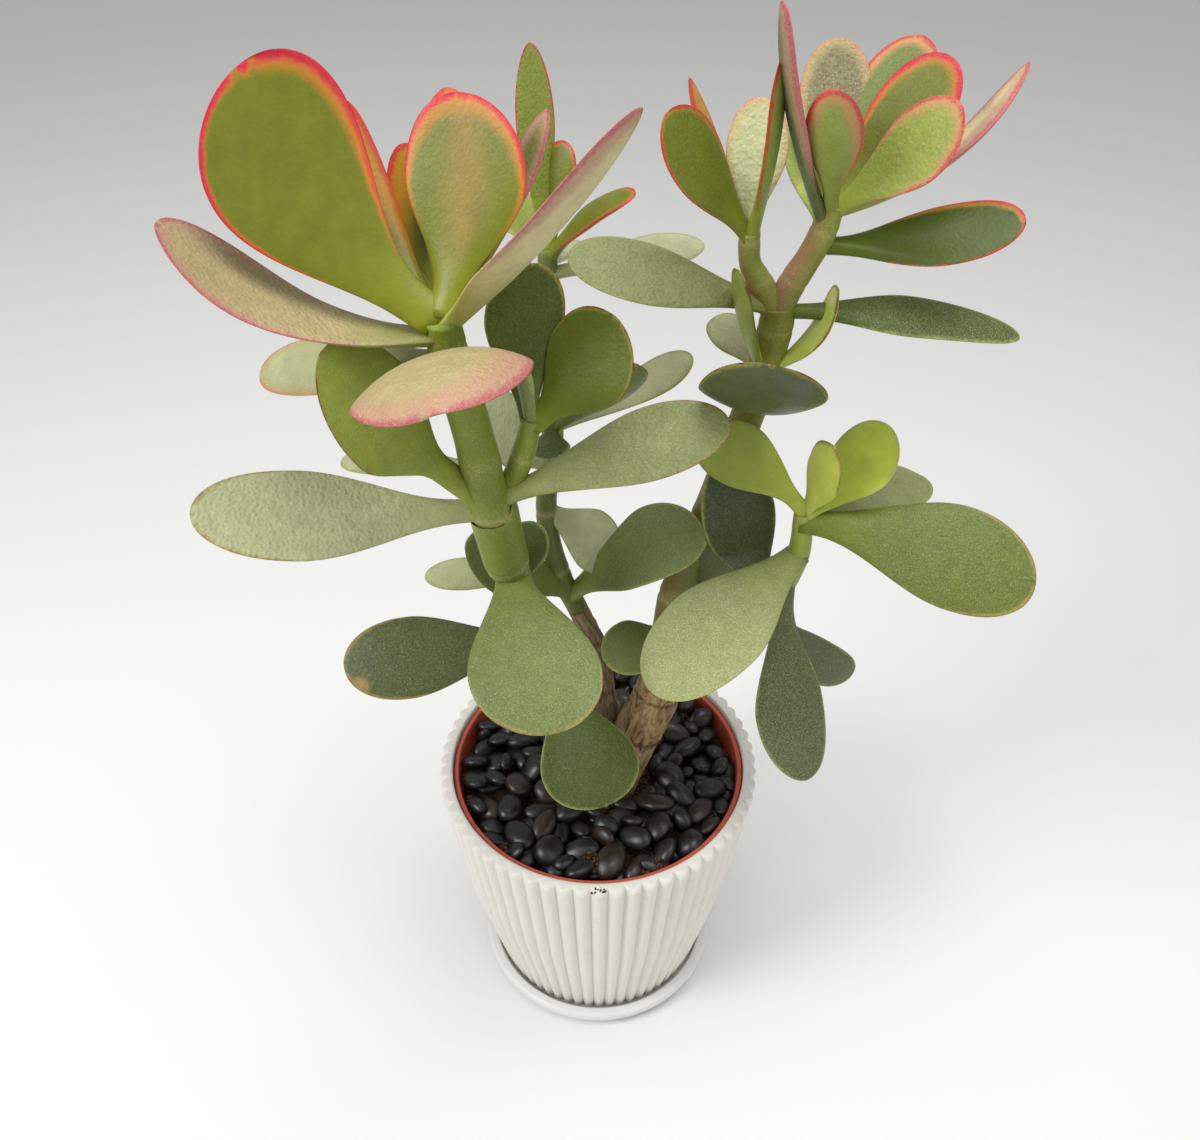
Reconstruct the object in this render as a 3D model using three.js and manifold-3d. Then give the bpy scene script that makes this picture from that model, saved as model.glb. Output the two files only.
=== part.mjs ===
// Potted golden jade: a branching succulent that grows in a thin terracotta-coloured pot.
// The growing pot stands in a white ribbed pot, and that pot stands on a low white saucer.
// Millimetres, +Z up, +Y away from the viewer. The origin is the centre of the saucer's underside.
import * as THREE from 'three'
import { mergeVertices } from 'three/addons/utils/BufferGeometryUtils.js'
import Module from 'manifold-3d'

const wasm = await Module()
wasm.setup()

// Gap between two pieces that touch.
const GAP = 0.3

// Saucer: a low dish whose broad rim lies round the foot of the pot.
const SAUCER = { foot: 43, outer: 50.9, inner: 46.2, height: 9.4, floor: 3 }

// Ribbed pot: radius over the ribs at chosen heights, sixty ribs, wall thinner than a rib is wide.
const RIBS = 60
const RIB_DEPTH = 1.9
const POT_FLOOR = 6.3
const POT_TOP = 118
const POT_RIM_INSIDE = 57.9
const POT_FLOOR_INSIDE = 41.3
// Height, radius over the ribs, and how far the ribs stand out there (0 none, 1 full).
const POT_ROWS = [
  [3.3, 43.8, 0],
  [9.6, 45.2, 0.55],
  [12.5, 46, 1],
  [60, 55.6, 1],
  [116.6, 62.5, 1],
  [118, 61.9, 0.8],
]

// Growing pot: thin wall, just below the rim of the ribbed pot.
const GROW = { floor: 6.6, foot: 40.9, top: 117.3, rim: 57.5, wall: 1.5 }

// Soil fills the growing pot and carries the pebbles.
const SOIL_TOP = 110
const CROWN = { x: 5, y: -5, radius: 10.5, bottom: 86.1 }

// Pebbles: polished flattened stones, half length, half width and half height of a middling one.
const PEBBLE_COUNT = 88
const PEBBLE = { a: 5.4, b: 4.2, c: 3.2 }
const PEBBLE_BED = 1.6

// Stems: x, y, z and radius along each one, root to tip. The lower part of each is brown and woody.
const WOOD = {
  right: [
    [5, -5, 100, 10],
    [6, -5, 111, 9.6],
    [14, -3, 135, 9.4],
    [21, -1, 153, 8.8],
    [25, 0.2, 172, 7.6],
    [25.6, 0.8, 181, 7],
  ],
  rear: [
    [5, -3, 102, 6],
    [6, 1, 120, 5],
    [3, 5, 146, 4.4],
    [0, 11, 167, 4],
    [-7, 16, 183, 3.8],
  ],
  front: [
    [4, -7, 102, 8],
    [2, -10, 111, 7.6],
    [-4, -12, 134, 7],
    [-8, -14, 150, 6.8],
  ],
}
const STEMS = {
  front: [
    [-8.1, -14.1, 150.7, 6.6],
    [-13, -16, 174, 6.4],
    [-21, -20, 203, 6.2],
    [-26, -24, 233, 5.6],
    [-28, -26, 244, 6.8],
    [-30, -28, 262, 7.2],
    [-31, -29, 267, 6],
    [-34, -32, 294, 5.5],
    [-37, -36, 317, 5],
    [-38, -38, 330, 4.6],
  ],
  front_side: [
    [-29, -27, 264, 3.4],
    [-25, -26, 271, 3.4],
    [-21, -26, 281, 3.3],
    [-18, -26, 293, 2.8],
  ],
  rear: [
    [-7.3, 16.2, 183.4, 3.8],
    [-14, 20, 199, 3.8],
    [-18, 24, 223, 3.6],
    [-15, 28, 255, 3.6],
    [-16, 31, 290, 3.2],
    [-15, 33, 316, 3],
  ],
  right: [
    [25.62, 0.82, 181.4, 6.8],
    [26, 1.2, 187, 6.6],
    [27.5, 2, 203, 6.2],
    [36, 4, 235, 5.6],
    [43, 6, 261, 5.4],
    [49, 7, 284, 5],
    [52, 8, 303, 5],
    [52, 8, 310, 4.6],
  ],
  right_left: [
    [51.5, 8, 307, 3.8],
    [47, 8, 316, 3.6],
    [43, 8, 323, 3.1],
    [42, 8, 332, 2.9],
  ],
  right_right: [
    [52, 8, 307, 4],
    [55, 8, 316, 3.9],
    [59, 8, 324, 3.7],
    [62, 8, 331, 3.7],
    [64, 8, 340, 3.2],
  ],
  lower: [
    [27, 2, 200, 3.6],
    [38, -1, 201, 3.6],
    [47, -4, 205, 3.6],
    [59, -9, 213, 3.6],
    [64, -12, 232, 3.6],
    [64, -12, 250, 3],
  ],
}

// Leaves: height of the base on the stem, tip x, y, z, width, thickness, turn about the leaf's own
// length, sag of the middle below the line from base to tip, sideways sweep of the middle, and
// where the leaf is widest.
const LEAVES = {
  front: [
    [329, -80, -20, 384, 36, 4, -40, 0.05, -0.1, 0.64],
    [325, -99, -45, 357, 25, 4, 0, 0.12, 0, 0.76],
    [330, -32, -15, 376, 29, 4, 0, 0.03, 0.04, 0.66],
    [327, 10, -35, 378, 28, 4, -30, 0.03, 0, 0.62],
    [330, -49, 0, 359, 16, 3, -20, 0.05, 0, 0.6],
    [331, -53, 5, 355, 14, 3, 0, 0.05, 0, 0.6],
    [329, -65, -4, 371, 18, 3.4, -20, 0.05, 0, 0.62],
    [330, -37, 5, 371, 16, 3.4, 0, 0.05, 0, 0.62],
    [329, -11, -20, 374, 18, 3.4, -30, 0.04, 0, 0.62],
    [322, -32, -92, 337, 44, 5, 7, 0.08, 0, 0.6],
    [266, -62, -50, 330, 30, 4, -60, 0.08, -0.1, 0.66],
    [318, -95, -10, 299, 20, 4, -30, 0, 0, 0.66],
    [264, -111, -45, 276, 27, 5, -30, 0, 0, 0.66],
    [280, -81, 5, 259, 13, 4, -15, 0, 0, 0.6],
    [265, 37, -24, 291, 25, 5, 25, 0, -0.02, 0.68],
    [236, -15, -75, 219, 38, 5.4, 0, -0.06, 0, 0.66],
    [174, -2, -50, 153, 36, 5.4, 0, -0.04, 0, 0.66],
    [203, -83, -30, 200, 27, 6, -40, -0.02, 0, 0.62],
    [228, -21, -6, 242, 15, 4, 0, 0, 0, 0.6],
  ],
  front_side: [
    [291, 4, -20, 322, 24, 4, 42, 0.04, 0.05, 0.64],
    [292, -18, -5, 329, 22, 3.6, 0, 0.04, -0.08, 0.66],
    [292, -19, -30, 317, 7, 3, 0, 0, 0, 0.5],
  ],
  rear: [
    [314, -20, 48, 370, 17, 3.6, 40, 0.02, 0, 0.62],
    [315, -11, 45, 345, 16, 3.4, 0, 0.02, 0, 0.66],
    [312, 11, 25, 336, 14, 3.6, 15, 0.04, 0, 0.6],
    [308, 33, 40, 314, 16, 4, 15, 0, 0, 0.7],
    [314, -32, 66, 322, 18, 3.6, 0, 0.03, 0, 0.66],
    [312, 4, 70, 314, 18, 3.6, 0, 0.03, 0, 0.66],
    [240, -33, 8, 283, 18, 4, -60, 0, 0, 0.66],
    [255, 13, 10, 289, 18, 4, -45, 0.02, 0, 0.66],
    [255, 31, 35, 279, 15, 4, 45, 0, 0, 0.74],
    [254, -16, 0, 261, 14, 4, 0, 0, 0, 0.6],
    [190, -44, 0, 227, 24, 4, -50, 0, 0, 0.62],
    [200, -62, 15, 202, 13, 4.4, -25, 0, 0, 0.66],
    [200, -5, 30, 223, 22, 4, 15, 0, 0, 0.6],
    [189, 33, -16, 241, 26, 5, 40, 0, -0.05, 0.64],
  ],
  right: [
    [308, 121, 0, 305, 15, 4.4, 25, -0.09, 0, 0.62],
    [309, -8, 0, 328, 21, 5, -30, -0.01, 0, 0.7],
    [289, 66, 0, 319, 11, 3, 20, 0.14, 0, 0.66],
    [289, 37, -5, 327, 11, 3, -25, 0.04, 0, 0.6],
    [289, 36, 30, 294, 14, 4, -15, 0, 0, 0.66],
    [280, 44, -38, 318, 33, 4.6, 0, 0.1, 0, 0.6],
    [187, 2, -14, 187, 20, 4.6, -30, 0, 0, 0.6],
  ],
  right_left: [
    [330, 21, 0, 368, 21, 3.6, -55, 0.03, -0.03, 0.6],
    [330, 25, 30, 366, 12, 3, 30, 0.03, 0, 0.6],
    [331, 45, 30, 361, 17, 3.4, 0, 0.03, 0, 0.62],
    [330, 44, 0, 380, 18, 3.4, 67, 0.03, 0, 0.6],
  ],
  right_right: [
    [334, 43, -5, 393, 17, 3.6, -25, 0.04, 0, 0.6],
    [337, 67, 45, 372, 20, 3.6, 0, 0.04, 0, 0.66],
    [333, 57, 40, 350, 12, 3.6, 0, 0.04, 0, 0.6],
    [338, 57, -10, 375, 15, 3.6, 0, 0.04, 0, 0.66],
    [339, 90, 40, 374, 21, 3.8, 0, 0.04, 0, 0.66],
    [339, 93, 20, 373, 20, 3.8, 30, 0.04, 0, 0.66],
    [338, 90, 0, 369, 17, 3.8, 50, 0.04, 0.02, 0.66],
    [338, 116, 30, 370, 16, 3.6, -15, 0.04, 0, 0.6],
    [330, 114, 0, 341, 20, 4.4, 30, 0.07, 0, 0.64],
  ],
  lower: [
    [250, 30, -9, 276, 26, 4, -50, -0.03, 0, 0.66],
    [249, 88, 0, 275, 25, 3.6, 0, 0.04, 0.05, 0.66],
    [249, 70, -15, 279, 13, 3, 55, 0.06, 0, 0.6],
    [247, 129, -40, 242, 31, 5, 40, -0.02, 0, 0.66],
    [243, 114, 25, 235, 28, 4.4, 0, 0, 0, 0.7],
    [233, 17, -55, 214, 34, 5.4, 0, -0.04, 0, 0.64],
    [224, 73, -35, 149, 26, 5, 0, 0, 0.05, 0.62],
    [210, 100, 15, 152, 17, 4.6, 60, 0, 0.08, 0.62],
    [211, 39, -11, 268, 23, 4.4, -75, 0, 0, 0.62],
    [205, 35, -10, 235, 22, 4.6, -60, 0, 0, 0.62],
  ],
}

// Closed solid from a geometry; triangles that collapse on the axis are left out.
function solid(geometry) {
  const bare = geometry.index ? geometry.toNonIndexed() : geometry.clone()
  bare.deleteAttribute('normal')
  bare.deleteAttribute('uv')
  const merged = mergeVertices(bare, 1e-4)
  const kept = []
  const index = merged.index.array
  for (let i = 0; i < index.length; i += 3) {
    const [a, b, c] = [index[i], index[i + 1], index[i + 2]]
    if (a !== b && b !== c && c !== a) kept.push(a, b, c)
  }
  const vertProperties = new Float32Array(merged.attributes.position.array)
  const triVerts = new Uint32Array(kept)
  return new wasm.Manifold(new wasm.Mesh({ numProp: 3, vertProperties, triVerts }))
}

// Solid of revolution about +Z from points of radius and height, from the axis round to the axis.
function turned(profile, segments) {
  const points = profile.map(([radius, height]) => new THREE.Vector2(radius, height))
  return solid(new THREE.LatheGeometry(points, segments).rotateX(Math.PI / 2))
}

// Closed skin over a row of rings with the same number of points; both ends close on a middle point.
function skin(rings, start, end) {
  const sides = rings[0].length
  const positions = []
  const index = []
  for (const ring of rings) for (const point of ring) positions.push(point.x, point.y, point.z)
  for (let row = 0; row + 1 < rings.length; row++) {
    for (let i = 0; i < sides; i++) {
      const j = (i + 1) % sides
      const [a, b] = [row * sides + i, row * sides + j]
      index.push(a, b, b + sides, a, b + sides, a + sides)
    }
  }
  const last = (rings.length - 1) * sides
  const first = positions.length / 3
  positions.push(start.x, start.y, start.z, end.x, end.y, end.z)
  for (let i = 0; i < sides; i++) {
    const j = (i + 1) % sides
    index.push(first, j, i)
    index.push(first + 1, last + i, last + j)
  }
  const geometry = new THREE.BufferGeometry()
  geometry.setAttribute('position', new THREE.Float32BufferAttribute(positions, 3))
  geometry.setIndex(index)
  return solid(geometry)
}

// Stem: a round tube along the points, with flat ends; extra is added to every radius.
function stem(points, sides = 10, extra = 0) {
  const at = points.map(([x, y, z]) => new THREE.Vector3(x, y, z))
  const rings = at.map((centre, k) => {
    const before = at[Math.max(k - 1, 0)]
    const after = at[Math.min(k + 1, at.length - 1)]
    const along = after.clone().sub(before).normalize()
    const side = new THREE.Vector3(1, 0, 0).addScaledVector(along, -along.x).normalize()
    const back = along.clone().cross(side)
    const ring = []
    for (let i = 0; i < sides; i++) {
      const angle = (2 * Math.PI * i) / sides
      const radius = points[k][3] + extra
      const point = centre.clone().addScaledVector(side, radius * Math.cos(angle))
      ring.push(point.addScaledVector(back, radius * Math.sin(angle)))
    }
    return ring
  })
  return skin(rings, at[0], at[at.length - 1])
}

// Point on a stem at a height.
function pointAt(points, height) {
  for (let k = 0; k + 1 < points.length; k++) {
    const [low, high] = [points[k], points[k + 1]]
    if (height <= high[2] || k + 2 === points.length) {
      const t = (height - low[2]) / (high[2] - low[2])
      const start = new THREE.Vector3(low[0], low[1], low[2])
      return start.lerp(new THREE.Vector3(high[0], high[1], high[2]), t)
    }
  }
}

// Half width of a leaf from base (0) to tip (1), as a share of its greatest half width.
function leafOutline(along, widest, neck) {
  if (along < widest) {
    const t = along / widest
    return neck + (1 - neck) * t * t * (3 - 2 * t)
  }
  const t = (along - widest) / (1 - widest)
  return Math.sqrt(Math.max(0, 1 - t ** 2.2))
}

// Leaf: a fleshy spoon with six-sided sections, from inside the stem to a rounded tip.
const LEAF_ROWS = [0, 0.18, 0.4, 0.62, 0.8, 0.93]
function leaf(base, row) {
  const [, tipX, tipY, tipZ, width, thickness, turn, sag, sweep, widest] = row
  const tip = new THREE.Vector3(tipX, tipY, tipZ)
  const along = tip.clone().sub(base)
  const length = along.length()
  along.normalize()
  const heading = Math.atan2(along.y, along.x)
  const rise = Math.asin(along.z)
  const lean = -Math.sin(rise)
  const up = new THREE.Vector3(lean * Math.cos(heading), lean * Math.sin(heading), Math.cos(rise))
  up.applyAxisAngle(along, THREE.MathUtils.degToRad(turn))
  const side = along.clone().cross(up)
  const neck = Math.max(0.28, 2.2 / (width / 2))
  const rings = LEAF_ROWS.map((s) => {
    const drop = -4 * sag * s * (1 - s) * length
    const slope = -4 * sag * (1 - 2 * s)
    const shift = 4 * sweep * s * (1 - s) * length
    const centre = base.clone().addScaledVector(along, s * length)
    centre.addScaledVector(up, drop).addScaledVector(side, shift)
    const normal = up.clone().addScaledVector(along, -slope).normalize()
    const half = (width / 2) * leafOutline(s, widest, neck)
    const thinning = Math.sqrt(Math.max(0.12, 1 - (Math.max(0, s - 0.5) / 0.5) ** 2.6))
    const stalk = 0.5 * Math.max(0, 1 - s / 0.35) ** 2
    const deep = (thickness / 2) * (0.8 + 0.2 * Math.sin(Math.PI * s) + stalk) * thinning
    const cup = half * 0.12
    const section = [
      [-1, cup],
      [-0.5, deep * 0.9],
      [0.5, deep * 0.9],
      [1, cup],
      [0.5, -deep],
      [-0.5, -deep],
    ]
    return section.map(([across, lift]) => {
      const point = centre.clone().addScaledVector(side, half * across)
      return point.addScaledVector(normal, lift)
    })
  })
  return skin(rings, base, tip)
}

// All leaves of a stem.
function leavesOf(name) {
  return LEAVES[name].map((row) => leaf(pointAt(STEMS[name], row[0]), row))
}

// One body from many.
function fused(solids) {
  return solids.reduce((whole, piece) => whole.add(piece))
}

// Named mesh from a solid.
function mesh(name, body, colour, roughness) {
  const made = body.getMesh()
  const geometry = new THREE.BufferGeometry()
  const positions = new Float32Array((made.vertProperties.length / made.numProp) * 3)
  for (let i = 0; i < positions.length / 3; i++) {
    for (let k = 0; k < 3; k++) positions[3 * i + k] = made.vertProperties[i * made.numProp + k]
  }
  geometry.setAttribute('position', new THREE.BufferAttribute(positions, 3))
  geometry.setIndex(new THREE.BufferAttribute(new Uint32Array(made.triVerts), 1))
  geometry.computeVertexNormals()
  const material = new THREE.MeshStandardMaterial({ color: colour, roughness, metalness: 0 })
  const node = new THREE.Mesh(geometry, material)
  node.name = name
  return node
}

// Saucer.
const saucer = turned(
  [
    [0, 0],
    [SAUCER.foot, 0],
    [48.6, 1.6],
    [SAUCER.outer, 6.6],
    [50.6, 8.4],
    [49.6, SAUCER.height],
    [47, SAUCER.height],
    [SAUCER.inner, 8.6],
    [45.4, SAUCER.floor],
    [0, SAUCER.floor],
  ],
  48,
)

// Ribbed pot: each rib is four points round, the cavity is plain.
function ribbedRow([height, radius, share]) {
  const ring = []
  const depth = RIB_DEPTH * (radius / 62.5) * share
  for (let i = 0; i < RIBS * 4; i++) {
    const angle = (2 * Math.PI * i) / (RIBS * 4)
    const stand = [0, 0.78, 1, 0.78][i % 4]
    const r = radius - depth * (1 - stand)
    ring.push(new THREE.Vector3(r * Math.cos(angle), r * Math.sin(angle), height))
  }
  return ring
}
const potBody = skin(
  POT_ROWS.map(ribbedRow),
  new THREE.Vector3(0, 0, POT_ROWS[0][0]),
  new THREE.Vector3(0, 0, POT_TOP),
)
const potCavity = turned(
  [
    [0, POT_FLOOR],
    [POT_FLOOR_INSIDE, POT_FLOOR],
    [POT_RIM_INSIDE, POT_TOP],
    [POT_RIM_INSIDE + 0.2, POT_TOP + 2],
    [0, POT_TOP + 2],
  ],
  60,
)
const coverPot = potBody.subtract(potCavity)

// Growing pot.
const growingPot = turned(
  [
    [0, GROW.floor],
    [GROW.foot, GROW.floor],
    [GROW.rim, GROW.top],
    [GROW.rim - GROW.wall, GROW.top],
    [GROW.foot - GROW.wall, GROW.floor + GROW.wall],
    [0, GROW.floor + GROW.wall],
  ],
  60,
)

// Inside radius of the growing pot at a height, less a gap.
function insideAt(height) {
  const t = (height - GROW.floor - GROW.wall) / (GROW.top - GROW.floor - GROW.wall)
  const foot = GROW.foot - GROW.wall
  return foot + t * (GROW.rim - GROW.wall - foot) - GAP - 0.1
}

// Woody base: one root crown that forks into three stems just above the soil. Room is what is kept
// clear round it in the soil and the pebbles.
function woodyBase(room) {
  const crown = turned(
    [
      [0, CROWN.bottom + GAP - room],
      [7 + room, CROWN.bottom + GAP - room],
      [CROWN.radius + room, 98 - room],
      [CROWN.radius + room, 110],
      [8 + room, 114 + room],
      [0, 114 + room],
    ],
    16,
  )
  return fused([
    crown.translate([CROWN.x, CROWN.y, 0]),
    stem(WOOD.right, 14, room),
    stem(WOOD.rear, 10, room),
    stem(WOOD.front, 12, room),
  ])
}
const wood = woodyBase(0)
const woodRoom = woodyBase(0.4)

// Soil with a plain hole for the root crown.
const soil = turned(
  [
    [0, 8.4],
    [insideAt(8.4), 8.4],
    [insideAt(SOIL_TOP), SOIL_TOP],
    [0, SOIL_TOP],
  ],
  48,
).subtract(woodRoom)

// Pebbles: laid out on a spiral, each turned and tilted a little, sunk in a thin bed.
function scatter(i, k) {
  const value = Math.sin(i * 12.9898 + k * 78.233) * 43758.5453
  return value - Math.floor(value)
}
function pebble(i) {
  const around = i * 2.39996
  const reach = 52.5 * Math.sqrt((i + 0.6) / PEBBLE_COUNT)
  const size = 0.85 + 0.4 * scatter(i, 1)
  const stone = new THREE.SphereGeometry(1, 7, 3).rotateX(Math.PI / 2)
  stone.scale(PEBBLE.a * size, PEBBLE.b * size, PEBBLE.c * size)
  stone.rotateY((scatter(i, 2) - 0.5) * 0.7)
  stone.rotateX((scatter(i, 3) - 0.5) * 0.7)
  stone.rotateZ(scatter(i, 4) * Math.PI)
  const height = SOIL_TOP + 2.6 + 1.4 * scatter(i, 5)
  stone.translate(reach * Math.cos(around), reach * Math.sin(around), height)
  return solid(stone)
}
const bed = turned(
  [
    [0, SOIL_TOP + GAP],
    [insideAt(SOIL_TOP), SOIL_TOP + GAP],
    [insideAt(SOIL_TOP), SOIL_TOP + PEBBLE_BED],
    [0, SOIL_TOP + PEBBLE_BED],
  ],
  48,
)
const stoneRoom = turned(
  [
    [0, SOIL_TOP + GAP],
    [insideAt(SOIL_TOP), SOIL_TOP + GAP],
    [insideAt(POT_TOP), POT_TOP],
    [0, POT_TOP],
  ],
  48,
)
const stones = []
for (let i = 0; i < PEBBLE_COUNT; i++) stones.push(pebble(i))
const pebbles = fused([bed, ...stones]).intersect(stoneRoom).subtract(woodRoom)

// Leafy stems.
const frontStem = fused([
  stem(STEMS.front),
  stem(STEMS.front_side, 8),
  ...leavesOf('front'),
  ...leavesOf('front_side'),
])
const rearStem = fused([stem(STEMS.rear, 8), ...leavesOf('rear')])
const rightStem = fused([
  stem(STEMS.right),
  stem(STEMS.right_left, 8),
  stem(STEMS.right_right, 8),
  ...leavesOf('right'),
  ...leavesOf('right_left'),
  ...leavesOf('right_right'),
])
const lowerLeaves = fused([stem(STEMS.lower, 8), ...leavesOf('lower')])
const lowerShoot = lowerLeaves.subtract(stem(STEMS.right, 10, GAP + 0.1))

const object = new THREE.Group()
object.add(
  mesh('saucer', saucer, 0xe8e8e4, 0.5),
  mesh('cover_pot', coverPot, 0xecebe6, 0.5),
  mesh('growing_pot', growingPot, 0xc8604a, 0.6),
  mesh('soil', soil, 0x3a261a, 0.95),
  mesh('pebbles', pebbles, 0x1c1c1f, 0.35),
  mesh('woody_base', wood, 0x8a6b49, 0.85),
  mesh('front_stem', frontStem, 0x6f8f3a, 0.45),
  mesh('rear_stem', rearStem, 0x6d8a45, 0.5),
  mesh('right_stem', rightStem, 0x6f8f3a, 0.45),
  mesh('lower_shoot', lowerShoot, 0x6d8f40, 0.5),
)

export default object
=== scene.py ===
"""Looks of a potted golden jade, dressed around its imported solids.

The plant has fleshy spoon-shaped leaves with sun-reddened margins. It grows in a thin
terracotta-coloured pot under black river pebbles, inside a white ribbed pot on a saucer.
Lengths in the tables are millimetres in the frame of the solids; every mesh is made in metres.
"""

import logging
import math
from dataclasses import dataclass, field
from enum import Enum

import bpy
import numpy as np
from bpy.types import ID, Material, Node, NodeSocket, NodeTree, Object
from mathutils import Euler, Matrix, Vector, noise

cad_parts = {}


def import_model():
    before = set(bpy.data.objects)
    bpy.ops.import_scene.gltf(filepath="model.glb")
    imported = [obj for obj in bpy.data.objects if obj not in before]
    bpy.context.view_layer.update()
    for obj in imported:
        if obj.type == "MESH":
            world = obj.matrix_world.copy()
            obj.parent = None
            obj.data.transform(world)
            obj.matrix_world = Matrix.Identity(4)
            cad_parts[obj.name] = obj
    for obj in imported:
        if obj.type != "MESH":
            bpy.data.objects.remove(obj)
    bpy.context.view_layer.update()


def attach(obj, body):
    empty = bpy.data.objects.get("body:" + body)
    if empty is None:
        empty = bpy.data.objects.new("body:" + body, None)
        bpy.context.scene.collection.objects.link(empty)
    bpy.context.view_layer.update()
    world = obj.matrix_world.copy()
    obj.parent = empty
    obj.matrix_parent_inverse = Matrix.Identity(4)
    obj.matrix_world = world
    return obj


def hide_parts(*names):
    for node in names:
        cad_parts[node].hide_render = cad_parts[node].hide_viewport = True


LOG = logging.getLogger("potted_golden_jade")
MM = 0.001
BODY = "root"

# Camera, worked out from the ellipses of the rim, the foot and the saucer: place in metres, tilt
# from straight down in degrees, lens and frame width in millimetres.
CAMERA_PLACE = (0.0008, -0.2825, 0.4584)
CAMERA_TILT = 49.4
CAMERA_LENS = 33.0
FRAME_WIDTH = 36.0

# Ribs of the ribbed pot, height of its rim, and inner radius of the growing pot's rim.
RIB_COUNT = 60
RIB_DEPTH = 2.4
POT_TOP = 118.0
RIM_INSIDE = 55.2


class Flesh(Enum):
    """Colour of a leaf's face: (middle of the blade, stalk end)."""

    OLIVE = ("#6C7214", "#7E841C")
    GRASS = ("#5C681A", "#74821E")
    DEEP = ("#465414", "#5A6C1C")
    MOSS = ("#687638", "#74822E")
    BRIGHT = ("#8A9834", "#94A03A")
    LIME = ("#A0AE40", "#ACB84C")
    SAGE = ("#8A915A", "#838C48")
    SPRING = ("#C6D05E", "#BEC85A")
    FROST = ("#AEB286", "#8E9660")
    PALE = ("#B2B486", "#9AA066")
    # Partly the pale frost of mealy leaves, partly painted light that lightens leaves lying in shade.
    MIST = ("#BEC298", "#A8AC78")
    TAN = ("#AA976A", "#70762A")
    CREAM = ("#E4D2A0", "#A4A644")
    BRONZE = ("#6E6440", "#78783A")
    # These two are partly the deep green of leaves grown in shade, partly painted shade: they darken leaves
    # that lie in shade.
    DUSK = ("#475226", "#56622E")
    SHADE = ("#36431A", "#4A5624")


@dataclass(frozen=True)
class Margin:
    """How the sun has coloured a leaf's margin.

    Args:
        tint: colour right at the margin near the tip.
        low: colour right at the margin near the stalk.
        glow: colour of the wider band inside it.
        width: width of the margin band, in millimetres.
        spread: how far the glow reaches in, in millimetres.
        strength: how strong the tint is, 0 to 1.
        start: share of the leaf's length where it begins.
    """

    tint: str
    low: str
    glow: str
    width: float
    spread: float
    strength: float
    start: float


class Edge(Enum):
    """Named kinds of margin."""

    # A thin paler band at the margin: partly the leaf's own paler edge, partly painted light that shines
    # through the thin margin.
    NONE = Margin("#9C9E58", "#9CA25A", "#8E9650", 0.5, 1.3, 0.6, 0.2)
    HINT = Margin("#8A5238", "#A09A50", "#9A9048", 0.6, 1.8, 0.8, 0.5)
    LINE = Margin("#7A2A20", "#8A6A30", "#8E8A34", 0.5, 1.3, 0.9, 0.4)
    PINK = Margin("#B8405A", "#C0646E", "#B98A76", 1.8, 6.5, 0.8, 0.3)
    ROSE = Margin("#B23A56", "#BC5668", "#BC8474", 1.9, 9.5, 0.75, 0.1)
    BLUSH = Margin("#C4715E", "#B88A5C", "#B29A66", 1.1, 4.0, 0.7, 0.25)
    SUN = Margin("#C2203A", "#D2562E", "#C87A2C", 2.6, 4.2, 1.0, 0.3)
    GOLD = Margin("#CC2434", "#C8602A", "#BE7E28", 2.4, 6.5, 1.0, 0.45)
    EMBER = Margin("#C0342E", "#B8522A", "#A8862E", 1.2, 1.8, 0.95, 0.2)
    CORAL = Margin("#C2363E", "#C4603A", "#C48A5A", 1.6, 4.5, 0.95, 0.3)
    FLAME = Margin("#C8302E", "#D0682A", "#BE861C", 2.4, 12.0, 0.95, 0.3)


@dataclass(frozen=True)
class Leaf:
    """One leaf: where it is, its form, and how its face and margin are coloured.

    Args:
        height: height on the stem where it grows.
        x: tip's x.
        y: tip's y.
        z: tip's z.
        width: greatest width.
        thickness: thickness of the middle.
        turn: turn about its own length, in degrees.
        sag: sag of its middle, as a share of its length.
        sweep: sideways sweep of its middle, as a share of its length.
        widest: where along its length it is widest.
        flesh: colour of its face.
        edge: kind of margin.
        bloom: how mealy its skin is, 0 waxy to 1 frosted.
        grain: how pebbled and crinkled its skin is, 0 to 1.
        lean: which side the sun has reddened more, -1 to 1.
        stalk: share of its length that is a plain stalk.
        heart: colour of a streak along its middle, or nothing.
        cup: how far its margins are lifted, as a share of half its width.
        mark: a scar or dried spot: share of length, share across, size in millimetres, colour.
    """

    height: float
    x: float
    y: float
    z: float
    width: float
    thickness: float
    turn: float
    sag: float
    sweep: float
    widest: float
    flesh: Flesh = Flesh.GRASS
    edge: Edge = Edge.HINT
    bloom: float = 0.3
    grain: float = 0.2
    lean: float = 0.0
    stalk: float = 0.06
    heart: str = ""
    cup: float = 0.1
    mark: tuple = ()


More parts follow.
